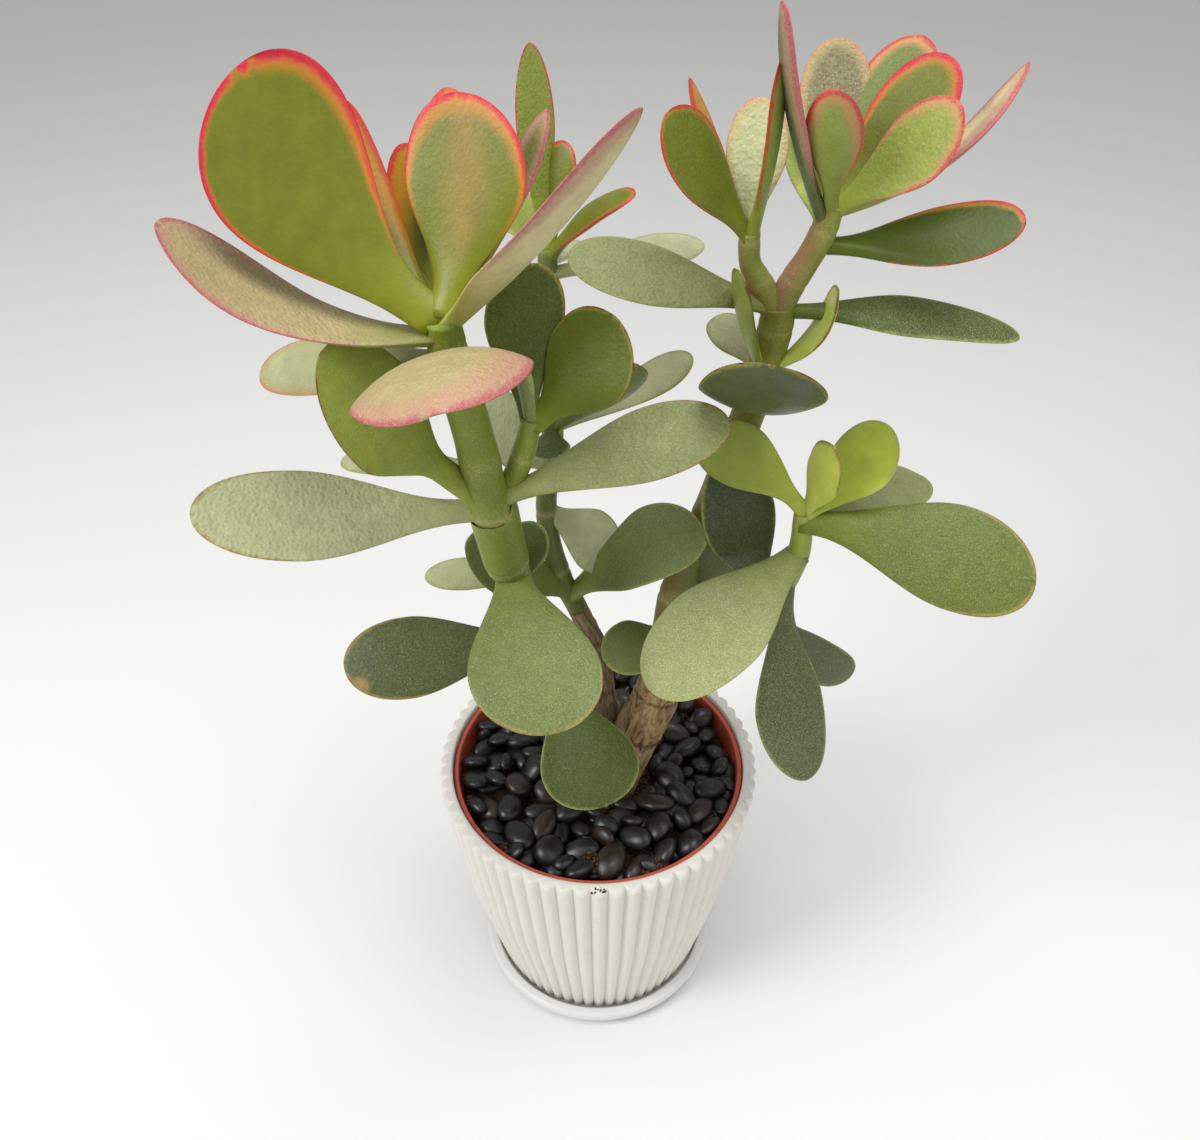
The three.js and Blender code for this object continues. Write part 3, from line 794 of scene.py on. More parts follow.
@dataclass
class Shell:
    """Vertices, faces and attributes gathered for one mesh.

    Args:
        points: rows of x, y, z in millimetres.
        faces: lists of vertex numbers.
        values: attribute arrays by name.
    """

    points: list = field(default_factory=list)
    faces: list = field(default_factory=list)
    values: dict = field(default_factory=dict)
    count: int = 0

    def add(self, points: np.ndarray, faces: list, values: dict) -> None:
        """Adds a closed part.

        Args:
            points: its vertices, in millimetres.
            faces: its faces, by its own vertex numbers.
            values: its attribute values, one row for each vertex.
        """
        self.points.append(points)
        self.faces.extend([tuple(i + self.count for i in face) for face in faces])
        for name, rows in values.items():
            self.values.setdefault(name, []).append(rows)
        self.count += len(points)

    def build(self, name: str, material: Material, smooth: bool = True) -> Object:
        """Makes the object, in metres, at the origin.

        Args:
            name: the piece's name.
            material: what it is made of.
            smooth: whether its faces are shaded smooth.

        Returns:
            The new object, linked to the scene.
        """
        mesh = bpy.data.meshes.new(name)
        mesh.from_pydata((np.concatenate(self.points) * MM).tolist(), [], self.faces)
        kinds = {1: "FLOAT", 3: "FLOAT_VECTOR", 4: "FLOAT_COLOR"}
        keys = {1: "value", 3: "vector", 4: "color"}
        for key, rows in self.values.items():
            data = np.concatenate(rows).astype(np.float32)
            width = 1 if data.ndim == 1 else data.shape[1]
            attribute = mesh.attributes.new(key, kinds[width], "POINT")
            attribute.data.foreach_set(keys[width], data.ravel())
        mesh.materials.append(material)
        if smooth:
            mesh.shade_smooth()
        mesh.update()
        return put_in_scene(name, mesh)


def rings_to_faces(rows: int, sides: int) -> list:
    """Faces of a skin over rings, with its two ends closed on middle points that follow the rings.

    Args:
        rows: number of rings.
        sides: points in a ring.

    Returns:
        Faces as tuples of vertex numbers, facing out.
    """
    faces = []
    for row in range(rows - 1):
        for i in range(sides):
            j = (i + 1) % sides
            a, b = row * sides + i, row * sides + j
            faces.append((a, b, b + sides, a + sides))
    first, last = rows * sides, (rows - 1) * sides
    for i in range(sides):
        j = (i + 1) % sides
        faces.append((first, j, i))
        faces.append((first + 1, last + i, last + j))
    return faces


def on_stem(points: list, height: float) -> np.ndarray:
    """Point on a stem at a height.

    Args:
        points: the stem's rows.
        height: z to find.

    Returns:
        The point, in millimetres.
    """
    rows = np.array(points, float)
    for low, high in zip(rows[:-1], rows[1:]):
        if height <= high[2]:
            break
    return low[:3] + (high[:3] - low[:3]) * (height - low[2]) / (high[2] - low[2])


def smooth_path(points: list, steps: int) -> np.ndarray:
    """Smooth curve through a stem's rows.

    Args:
        points: rows of x, y, z and radius.
        steps: new rows between two old ones.

    Returns:
        Finer rows of x, y, z and radius.
    """
    rows = np.array(points, float)
    padded = np.vstack([2 * rows[0] - rows[1], rows, 2 * rows[-1] - rows[-2]])
    fine = []
    for k in range(1, len(padded) - 2):
        a, b, c, d = padded[k - 1 : k + 3]
        for t in np.arange(steps) / steps:
            line = 2 * b + (c - a) * t
            curve = (2 * a - 5 * b + 4 * c - d) * t**2
            twist = (3 * b - a - 3 * c + d) * t**3
            fine.append(0.5 * (line + curve + twist))
    fine.append(rows[-1])
    return np.array(fine)


def directions(path: np.ndarray, sides: int) -> tuple[np.ndarray, np.ndarray, np.ndarray]:
    """Directions across a path, and the angles of the points round it.

    Args:
        path: rows of x, y, z and radius.
        sides: points round.

    Returns:
        The sideways and backward direction at each row, and the angles.
    """
    along = np.gradient(path[:, :3], axis=0)
    along /= np.linalg.norm(along, axis=1)[:, None]
    side = np.array([1.0, 0, 0]) - along * along[:, :1]
    side /= np.linalg.norm(side, axis=1)[:, None]
    return side, np.cross(along, side), np.arange(sides) * 2 * math.pi / sides


def step(low: float, high: float, value: np.ndarray) -> np.ndarray:
    """Smooth step from 0 at low to 1 at high."""
    t = np.clip((value - low) / (high - low), 0, 1)
    return t * t * (3 - 2 * t)


def towards(colour: np.ndarray, code: str, amount: np.ndarray) -> np.ndarray:
    """Moves linear colours towards an sRGB hex colour by an amount from 0 to 1."""
    return colour + (np.array(linear(code)) - colour) * amount


@dataclass
class LeafyStem:
    """One stem with its side stems and all its leaves.

    Args:
        name: the node it stands for.
        parts: names of the stem and side stems in the tables.
        rows: rings along a leaf.
        sides: points round a leaf.
        stem_steps: rings between two rows of a stem's table.
        stem_sides: points round a stem.
        scar_width: half the height of a leaf scar's ring, in millimetres.
        swell_width: half the height of the swelling round it, in millimetres.
    """

    name: str
    parts: tuple
    rows: int = 40
    sides: int = 32
    stem_steps: int = 14
    stem_sides: int = 40
    scar_width: float = 0.7
    swell_width: float = 3.5

    def build(self, skin: Material) -> list[Object]:
        """Builds the stem piece and the leaves piece.

        Args:
            skin: the skin material.

        Returns:
            The two objects.
        """
        stems, leaves = Shell(), Shell()
        for part in self.parts:
            self._stem(stems, part)
            for number, leaf in enumerate(LEAVES[part]):
                self._leaf(leaves, leaf, on_stem(STEMS[part], leaf.height), number)
        return [stems.build(self.name + "_green_wood", skin), leaves.build(self.name + "_leaves", skin)]

    def _stem(self, shell: Shell, part: str) -> None:
        """Adds one green stem with its leaf scars.

        Args:
            shell: what to add to.
            part: its name in the tables.
        """
        path = smooth_path(STEMS[part], self.stem_steps)
        side, back, angle = directions(path, self.stem_sides)
        scar = np.zeros(len(path))
        swell = np.zeros(len(path))
        for height in SCARS[part]:
            scar += np.exp(-(((path[:, 2] - height) / self.scar_width) ** 2))
            swell += np.exp(-(((path[:, 2] - height) / self.swell_width) ** 2))
        radius = path[:, 3] * (1 + 0.05 * swell - 0.05 * scar)
        ring = radius[:, None] * (1 + 0.02 * np.sin(3 * angle + path[:, 2:3] / 9))
        points = (
            path[:, None, :3]
            + side[:, None, :] * (ring * np.cos(angle))[:, :, None]
            + back[:, None, :] * (ring * np.sin(angle))[:, :, None]
        ).reshape(-1, 3)
        points = np.vstack([points, path[0, :3], path[-1, :3]])
        count = len(points)
        low, high, sunny = (np.array(linear(code)) for code in STEM_COLOURS[part])
        rise = step(0.0, 1.0, (path[:, 2] - path[0, 2]) / (path[-1, 2] - path[0, 2]))[:, None, None]
        sun = step(-0.2, 0.9, -np.cos(angle))[None, :, None] * (1 - 0.5 * rise)
        green = low + (high - low) * rise
        colour = green + (sunny - green) * sun
        colour = towards(colour, SCAR_COLOUR, (0.6 * np.clip(scar, 0, 1))[:, None, None])
        colour = colour.reshape(-1, 4)
        colour = np.vstack([colour, colour[0], colour[-1]])
        mealy = np.repeat(0.3 + 0.3 * np.clip(swell, 0, 1), self.stem_sides)
        mealy = np.append(mealy, [0.3, 0.3])
        wax = np.stack([mealy, mealy * 0.4, np.zeros(count)], axis=1)
        shell.add(points, rings_to_faces(len(path), self.stem_sides), {
            "flesh": colour,
            "rim": np.full(count, FAR_FROM_MARGIN),
            "blush": np.zeros((count, 3)) + UNSUNNED,
            "tint": colour,
            "glow": colour,
            "wax": wax,
        })

    def _leaf(self, shell: Shell, leaf: Leaf, base: np.ndarray, number: int) -> None:
        """Adds one leaf.

        Args:
            shell: what to add to.
            leaf: its row.
            base: where it grows from the stem.
            number: its number on the stem, which seeds its unevenness.
        """
        tip = np.array([leaf.x, leaf.y, leaf.z], float)
        along = tip - base
        length = float(np.linalg.norm(along))
        along /= length
        heading, rise = math.atan2(along[1], along[0]), math.asin(along[2])
        flat = -math.sin(rise)
        up = np.array([flat * math.cos(heading), flat * math.sin(heading), math.cos(rise)])
        turn = math.radians(leaf.turn)
        up = up * math.cos(turn) + np.cross(along, up) * math.sin(turn)
        side = np.cross(along, up)

        # Rings along the leaf, closer together towards the tip; s is the share of the length.
        share = np.arange(self.rows) / self.rows
        s = 1 - (1 - share) ** 1.7
        half = leaf.width / 2 * self._outline(leaf, s)
        centre = base + along * (s * length)[:, None]
        centre = centre - up * (4 * leaf.sag * s * (1 - s) * length)[:, None]
        centre = centre + side * (4 * leaf.sweep * s * (1 - s) * length)[:, None]
        slope = -4 * leaf.sag * (1 - 2 * s)
        normal = up - along * slope[:, None]
        normal /= np.linalg.norm(normal, axis=1)[:, None]
        # Half thickness: thickest at the stalk, rounded off from the middle to the tip.
        thin = np.sqrt(np.clip(1 - (np.clip(s - 0.5, 0, 1) / 0.5) ** 2.6, 0.02, 1))
        stalk = 0.5 * np.clip(1 - s / 0.35, 0, 1) ** 2
        deep = leaf.thickness / 2 * (0.8 + 0.2 * np.sin(math.pi * s) + stalk) * thin

        # Round the leaf: a lens with full flanks, margins lifted by the cup and slightly waved.
        angle = np.arange(self.sides) * 2 * math.pi / self.sides
        across = np.cos(angle)
        flank = np.abs(np.sin(angle))
        body = 0.35 * flank + 0.65 * (1 - np.abs(across) ** 2.6)
        face = np.where(np.sin(angle) >= 0, 0.9 * body, -body)
        cup = leaf.cup * np.abs(across) ** 2.4
        seed = float(noise.noise(Vector((leaf.x * 0.37, leaf.z * 0.21, number * 1.7))))
        wave = 0.35 * np.sin(s * 9 + seed * 20)[:, None] * across[None, :] ** 3
        lift = deep[:, None] * face + half[:, None] * cup + wave * step(0.2, 0.5, s)[:, None]
        points = (
            centre[:, None, :]
            + side[None, None, :] * (half[:, None] * across)[:, :, None]
            + normal[:, None, :] * lift[:, :, None]
        )
        points = np.vstack([points.reshape(-1, 3), base, tip])

        margin = self._margin_distance(leaf, s, half, across, length)
        margin = np.append(margin.ravel(), [leaf.width / 2, 0.0])
        s_all = np.append(np.repeat(s, self.sides), [0.0, 1.0])
        u_all = np.append(np.tile(across, self.rows), [0.0, 0.0])
        top_all = np.append(np.tile(np.sin(angle) > -0.05, self.rows), [True, True])
        dress = self._dress(leaf, s_all, u_all, top_all, margin, seed, length)
        shell.add(points, rings_to_faces(self.rows, self.sides), dress)

    @staticmethod
    def _outline(leaf: Leaf, s: np.ndarray) -> np.ndarray:
        """Half width along the leaf, as a share of its greatest half width."""
        neck = max(0.27, 2.2 / (leaf.width / 2))
        rising = np.clip((s - leaf.stalk) / (leaf.widest - leaf.stalk), 0, 1)
        falling = np.clip((s - leaf.widest) / (1 - leaf.widest), 0, 1)
        inner = neck + (1 - neck) * rising**2 * (3 - 2 * rising)
        return np.where(s < leaf.widest, inner, np.sqrt(np.clip(1 - falling**2.2, 0, 1)))

    def _margin_distance(
        self, leaf: Leaf, s: np.ndarray, half: np.ndarray, across: np.ndarray, length: float
    ) -> np.ndarray:
        """Distance of each vertex from the leaf's margin, in millimetres.

        Args:
            leaf: the leaf's row.
            s: share of the length at each ring.
            half: half width at each ring.
            across: -1 to 1 round a ring.
            length: the leaf's length.

        Returns:
            One distance for each ring and side.
        """
        fine = np.linspace(0.1, 1, 120)
        edge = np.stack([fine * length, leaf.width / 2 * self._outline(leaf, fine)], axis=1)
        place = np.stack(
            [np.repeat(s * length, self.sides), (half[:, None] * np.abs(across)).ravel()], axis=1
        )
        gaps = np.sqrt(((place[:, None, :] - edge[None, :, :]) ** 2).sum(axis=2))
        return gaps.min(axis=1).reshape(len(s), self.sides)

    @staticmethod
    def _dress(
        leaf: Leaf, s: np.ndarray, u: np.ndarray, top: np.ndarray,
        margin: np.ndarray, seed: float, length: float,
    ) -> dict:
        """Colour and wax attributes of a leaf.

        Args:
            leaf: the leaf's row.
            s: share of the length at each vertex.
            u: -1 to 1 across at each vertex.
            top: whether each vertex is on the upper side.
            margin: distance from the margin.
            seed: the leaf's own number, -1 to 1.
            length: the leaf's length, in millimetres.

        Returns:
            Attribute rows by name.
        """
        edge = leaf.edge.value
        blade, stalk = (np.array(linear(code)) for code in leaf.flesh.value)
        fresh = step(0.45, 0.0, s)[:, None]
        colour = blade + (stalk - blade) * fresh
        colour = colour * (1 + 0.06 * seed)
        if leaf.heart:
            streak = np.exp(-((u / 0.33) ** 2)) * step(0.15, 0.5, s) * top
            colour = towards(colour, leaf.heart, (0.75 * streak)[:, None])
        colour = np.where(top[:, None], colour, colour * 0.92 + 0.08 * np.array(linear(UNDERSIDE)))
        if leaf.mark:
            along, across, size, code = leaf.mark
            gap = np.hypot((s - along) * length, (u - across) * leaf.width / 2)
            colour = towards(colour, code, (0.85 * step(size, 0.4 * size, gap))[:, None])
        colour[:, 3] = 1
        reach = step(edge.start, edge.start + 0.55, s)
        red = edge.width * (0.22 + 0.78 * reach) * np.clip(1 + 0.5 * leaf.lean * u, 0.3, 2)
        warm = edge.spread * (0.25 + 0.75 * reach) * np.clip(1 + leaf.lean * u, 0.25, 2)
        strength = edge.strength * step(edge.start - 0.12, edge.start + 0.2, s)
        low, tint = np.array(linear(edge.low)), np.array(linear(edge.tint))
        margin_colour = low + (tint - low) * step(0.35, 0.9, s)[:, None]
        bloom = leaf.bloom * (0.55 + 0.45 * step(0.1, 0.5, s))
        grain = leaf.grain * step(0.05, 0.35, s)
        return {
            "flesh": colour,
            "rim": margin,
            "blush": np.stack([red, warm, strength], axis=1),
            "tint": margin_colour,
            "glow": np.ones((len(s), 1)) * linear(edge.glow),
            "wax": np.stack([bloom, grain, np.zeros(len(s))], axis=1),
        }


@dataclass
class Trunks:
    """Woody base: three barked trunks from one root crown.

    Args:
        sides: points round a trunk.
        steps: rings between two rows of the table.
        sink: how far a cleft lies inside the table's radius, in millimetres.
        relief: height of a strand over a cleft, in millimetres.
    """

    sides: int = 168
    steps: int = 36
    sink: float = 0.55
    relief: float = 0.7

    def build(self, bark: Material) -> Object:
        """Builds the trunks as one piece.

        Args:
            bark: the bark material.

        Returns:
            The object.
        """
        shell = Shell()
        for number, part in enumerate(WOOD):
            self._trunk(shell, WOOD[part], number, 1.0 if part == "rear" else 0.0)
        return shell.build("barked_trunks", bark)

    def _trunk(self, shell: Shell, rows: list, number: int, age: float) -> None:
        """Adds one trunk, its bark raised in slanting fibres that cross.

        Args:
            shell: what to add to.
            rows: its rows in the table.
            number: its number, which shifts its pattern.
            age: 1 for the greyer bark.
        """
        path = smooth_path(rows, self.steps)
        side, back, angle = directions(path, self.sides)
        points, ridges = [], []
        for k, row in enumerate(path):
            level = self._bark(angle, row[3], row[2], number)
            radius = row[3] - self.sink + self.relief * level
            sideways = side[k] * (radius * np.cos(angle))[:, None]
            backward = back[k] * (radius * np.sin(angle))[:, None]
            points.append(row[:3] + sideways + backward)
            ridges.append(level)
        points = np.vstack([*points, path[0, :3], path[-1, :3]])
        ridge = np.append(np.concatenate(ridges), [0.5, 0.5])
        values = {"ridge": ridge, "age": np.full(len(points), age)}
        shell.add(points, rings_to_faces(len(path), self.sides), values)

    @staticmethod
    def _bark(angle: np.ndarray, radius: float, height: float, number: int) -> np.ndarray:
        """Height of the bark round one ring: slanting strands with clefts, and a few collars.

        Args:
            angle: angles round the ring.
            radius: the trunk's radius there, in millimetres.
            height: the ring's height, in millimetres.
            number: the trunk's number, which shifts its pattern.

        Returns:
            0 in a cleft to 1 on a strand, for each angle.
        """
        level = np.empty(len(angle))
        count = max(5, round(radius * 0.55))
        for i, turn in enumerate(angle):
            x, y = math.cos(turn), math.sin(turn)
            broad = noise.noise(Vector((x * 1.6, y * 1.6, height * 0.045 + number * 9)))
            drift = noise.noise(Vector((x * 3.4, y * 3.4, height * 0.13 + number * 5)))
            slant = turn * count + height * 0.42 + broad * 5.5 + drift * 2.6
            strand = 0.5 + 0.5 * math.cos(slant)
            fine = 0.5 + 0.5 * math.cos(slant * 3.0 + 4 * drift)
            torn = noise.noise(Vector((x * 5.5, y * 5.5, height * 0.3 + number * 3)))
            level[i] = 0.1 + 0.42 * strand**0.7 + 0.38 * fine**0.8 + 0.35 * torn
        collar = math.sin(height * 0.33 + number * 1.9)
        dip = max(0.0, collar - 0.93) / 0.07
        return np.clip(level - 0.4 * dip, 0, 1)


@dataclass
class RibbedPot:
    """White ribbed pot: a plain turned wall whose ribs are raised by a rule in Geometry Nodes.

    Args:
        ribs: number of ribs.
        depth: depth of a groove at the rim, in millimetres.
        segments: points round.
        shift: turns the ribs, in ribs; its 200 keeps the count above zero all round.
        fullness: below 1, a rib is rounder and its groove narrower.
        rim_radius: radius where the grooves have their full depth, in millimetres.
    """

    ribs: int = RIB_COUNT
    depth: float = RIB_DEPTH
    segments: int = RIB_COUNT * 12
    shift: float = 200.42
    fullness: float = 0.85
    rim_radius: float = 62.5

    # Radius over the ribs, height, and how much of the ribs shows there.
    PROFILE = (
        (0.0, 3.3, 0.0), (20.0, 3.3, 0.0), (37.5, 3.3, 0.0), (41.2, 3.35, 0.6), (42.9, 3.9, 1.0),
        (43.9, 5.0, 1.0), (44.7, 7.2, 1.0), (45.2, 9.6, 1.0), (46.0, 12.5, 1.0), (50.8, 36.0, 1.0),
        (55.6, 60.0, 1.0), (59.1, 88.0, 1.0), (61.8, 111.5, 1.0), (62.3, 114.8, 1.0), (62.45, 116.4, 1.0),
        (62.3, 117.4, 1.0), (61.95, 118.0, 1.0), (61.4, 118.35, 1.0), (60.3, 118.5, 0.55),
        (59.4, 118.55, 0.2), (58.4, 118.6, 0.0), (57.7, 118.5, 0.0), (57.35, 118.15, 0.0),
        (57.25, 117.5, 0.0), (57.3, 114.0, 0.0), (49.8, 62.0, 0.0), (41.3, 8.0, 0.0), (40.6, 6.3, 0.0),
        (20.0, 6.3, 0.0), (0.0, 6.3, 0.0),
    )

    def build(self, plastic: Material) -> Object:
        """Builds the pot.

        Args:
            plastic: its material.

        Returns:
            The object, a plain mesh.
        """
        blank = turned("ribbed_cover_pot_blank", [(r, z) for r, z, _ in self.PROFILE], self.segments, plastic)
        share = blank.data.attributes.new("share", "FLOAT", "POINT")
        rows = [amount for _, _, amount in self.PROFILE[1:-1]]
        data = np.append(np.repeat(rows, self.segments), [0.0, 0.0]).astype(np.float32)
        share.data.foreach_set("value", data)
        values = {"Rib Count": float(self.ribs), "Rib Depth": self.depth * MM, "Material": plastic}
        return apply_tree(blank, self._rib_tree(), values, "ribbed_cover_pot")

    def _rib_tree(self) -> NodeTree:
        """Tree that pushes the grooves in between the ribs.

        Returns:
            A geometry node tree with inputs Rib Count, Rib Depth and Material.
        """
        tree, start, end = new_tree("raise ribs", {"Rib Count": "Float", "Rib Depth": "Float"})
        place = add_node(tree, "GeometryNodeInputPosition").outputs[0]
        parts = add_node(tree, "ShaderNodeSeparateXYZ", None, {0: place})
        x, y = parts.outputs[0], parts.outputs[1]
        turns = math_node(tree, "DIVIDE", math_node(tree, "ARCTAN2", y, x), 2 * math.pi)
        count = times(tree, turns, start.outputs["Rib Count"])
        phase = math_node(tree, "FRACT", plus(tree, count, self.shift))
        centred = minus(tree, times(tree, phase, 2.0), 1.0)
        hollow = math_node(tree, "POWER", math_node(tree, "ABSOLUTE", centred), 2.0)
        rib = math_node(tree, "POWER", minus(tree, 1.0, hollow), self.fullness)
        wide = math_node(tree, "SQRT", plus(tree, times(tree, x, x), times(tree, y, y)))
        scale = math_node(tree, "DIVIDE", wide, self.rim_radius * MM)
        groove = times(tree, minus(tree, 1.0, rib), point_value(tree, "share", "FLOAT"))
        inward = times(tree, times(tree, groove, scale), start.outputs["Rib Depth"])
        radius = math_node(tree, "MAXIMUM", wide, 1e-5)
        ratio = math_node(tree, "DIVIDE", times(tree, inward, -1.0), radius)
        flat = add_node(tree, "ShaderNodeCombineXYZ", None, {0: x, 1: y, 2: 0.0})
        offset = add_node(tree, "ShaderNodeVectorMath", {"operation": "SCALE"},
                          {0: flat.outputs[0], "Scale": ratio})
        moved = add_node(tree, "GeometryNodeSetPosition", None,
                         {"Geometry": start.outputs["Geometry"], "Offset": offset.outputs[0]})
        finish_tree(tree, start, end, moved.outputs[0])
        return tree


def turned(name: str, profile: list, segments: int, material: Material) -> Object:
    """Solid of revolution from radius and height pairs that start and end on the axis.

    Args:
        name: the object's name.
        profile: radius and height pairs, in millimetres, outside first and upwards.
        segments: points round.
        material: what it is made of.

    Returns:
        The object.
    """
    angle = np.arange(segments) * 2 * math.pi / segments
    rings = [
        np.stack([r * np.cos(angle), r * np.sin(angle), np.full(segments, z)], axis=1)
        for r, z in profile[1:-1]
    ]
    points = np.vstack([*rings, [[0, 0, profile[0][1]]], [[0, 0, profile[-1][1]]]])
    shell = Shell()
    shell.add(points, rings_to_faces(len(rings), segments), {})
    return shell.build(name, material)


def rounded(profile: list, radius: float, steps: int = 5) -> list:
    """Rounds the corners of a profile.

    Args:
        profile: radius and height pairs; the ends stay sharp.
        radius: how far from each corner the rounding starts, in millimetres.
        steps: points in each rounding.

    Returns:
        The finer profile.
    """
    rows = [Vector(p) for p in profile]
    out = [tuple(rows[0])]
    for before, corner, after in zip(rows, rows[1:], rows[2:]):
        back, ahead = before - corner, after - corner
        reach = min(radius, back.length * 0.45, ahead.length * 0.45)
        a, b = corner + back.normalized() * reach, corner + ahead.normalized() * reach
        for t in np.linspace(0, 1, steps):
            out.append(tuple(a * (1 - t) ** 2 + corner * 2 * t * (1 - t) + b * t**2))
    out.append(tuple(rows[-1]))
    return out


def new_tree(name: str, inputs: dict) -> tuple[NodeTree, Node, Node]:
    """Starts a geometry node tree with the inputs Geometry, its own ones and Material.

    Args:
        name: the tree's name.
        inputs: kinds of its own inputs, by their names.

    Returns:
        The tree, its group input node and its group output node.
    """
    tree = bpy.data.node_groups.new(name, "GeometryNodeTree")
    for label, kind in {"Geometry": "Geometry", **inputs, "Material": "Material"}.items():
        tree.interface.new_socket(label, in_out="INPUT", socket_type="NodeSocket" + kind)
    tree.interface.new_socket("Geometry", in_out="OUTPUT", socket_type="NodeSocketGeometry")
    return tree, tree.nodes.new("NodeGroupInput"), tree.nodes.new("NodeGroupOutput")


def point_value(tree: NodeTree, name: str, kind: str) -> NodeSocket:
    """Value that each point carries under a name, of kind FLOAT or FLOAT_VECTOR."""
    return add_node(tree, "GeometryNodeInputNamedAttribute", {"data_type": kind}, {"Name": name}).outputs[0]


def lay_balls(tree: NodeTree, start: Node, roundness: object) -> NodeSocket:
    """Puts a ball at each point, turned and stretched by the point's spin and size.

    Args:
        tree: the geometry node tree.
        start: its group input.
        roundness: socket or number, how finely the balls are divided.

    Returns:
        The output of the laid balls.
    """
    ball = add_node(tree, "GeometryNodeMeshIcoSphere", None, {"Radius": 1.0, "Subdivisions": roundness})
    spin, size = (point_value(tree, name, "FLOAT_VECTOR") for name in ("spin", "size"))
    turn = add_node(tree, "FunctionNodeEulerToRotation", None, {0: spin})
    laid = add_node(tree, "GeometryNodeInstanceOnPoints", None,
                    {"Points": start.outputs["Geometry"], "Instance": ball.outputs[0],
                     "Rotation": turn.outputs[0], "Scale": size})
    return laid.outputs[0]


def lone_points(name: str, places: list, spins: list, sizes: list) -> Object:
    """Mesh of lone points that carry a turn and half sizes, for a tree to lay balls on.

    Args:
        name: the object's name.
        places: rows of x, y and z, in millimetres.
        spins: rows of turns, in radians.
        sizes: rows of half sizes, in millimetres.

    Returns:
        The object.
    """
    mesh = bpy.data.meshes.new(name)
    mesh.from_pydata([tuple(c * MM for c in row) for row in places], [], [])
    for key, rows, scale in (("spin", spins, 1.0), ("size", sizes, MM)):
        attribute = mesh.attributes.new(key, "FLOAT_VECTOR", "POINT")
        attribute.data.foreach_set("vector", (np.array(rows, np.float32) * scale).ravel())
    return put_in_scene(name, mesh)


def finish_tree(tree: NodeTree, start: Node, end: Node, geometry: NodeSocket) -> None:
    """Ends a tree in Realize Instances and Set Material, shaded smooth.

    Args:
        tree: the tree.
        start: its group input, with an input named Material.
        end: its group output.
        geometry: what it has made.
    """
    real = add_node(tree, "GeometryNodeRealizeInstances", None, {0: geometry})
    smooth = add_node(tree, "GeometryNodeSetShadeSmooth", None, {0: real.outputs[0]})
    dressed = add_node(tree, "GeometryNodeSetMaterial", None,
                       {"Geometry": smooth.outputs[0], "Material": start.outputs["Material"]})
    tree.links.new(dressed.outputs[0], end.inputs[0])


def apply_tree(source: Object, tree: NodeTree, values: dict, name: str) -> Object:
    """Runs a tree on an object and keeps the result as a plain mesh.

    Args:
        source: object that the tree starts from; it is removed.
        tree: the geometry node tree.
        values: input values by name.
        name: the new piece's name.

    Returns:
        The new object.
    """
    modifier = source.modifiers.new(tree.name, "NODES")
    modifier.node_group = tree
    for item in tree.interface.items_tree:
        if item.item_type == "SOCKET" and item.in_out == "INPUT" and item.name in values:
            modifier[item.identifier] = values[item.name]
    graph = bpy.context.evaluated_depsgraph_get()
    mesh = bpy.data.meshes.new_from_object(source.evaluated_get(graph), depsgraph=graph)
    mesh.name = name
    bpy.data.objects.remove(source)
    return put_in_scene(name, mesh)


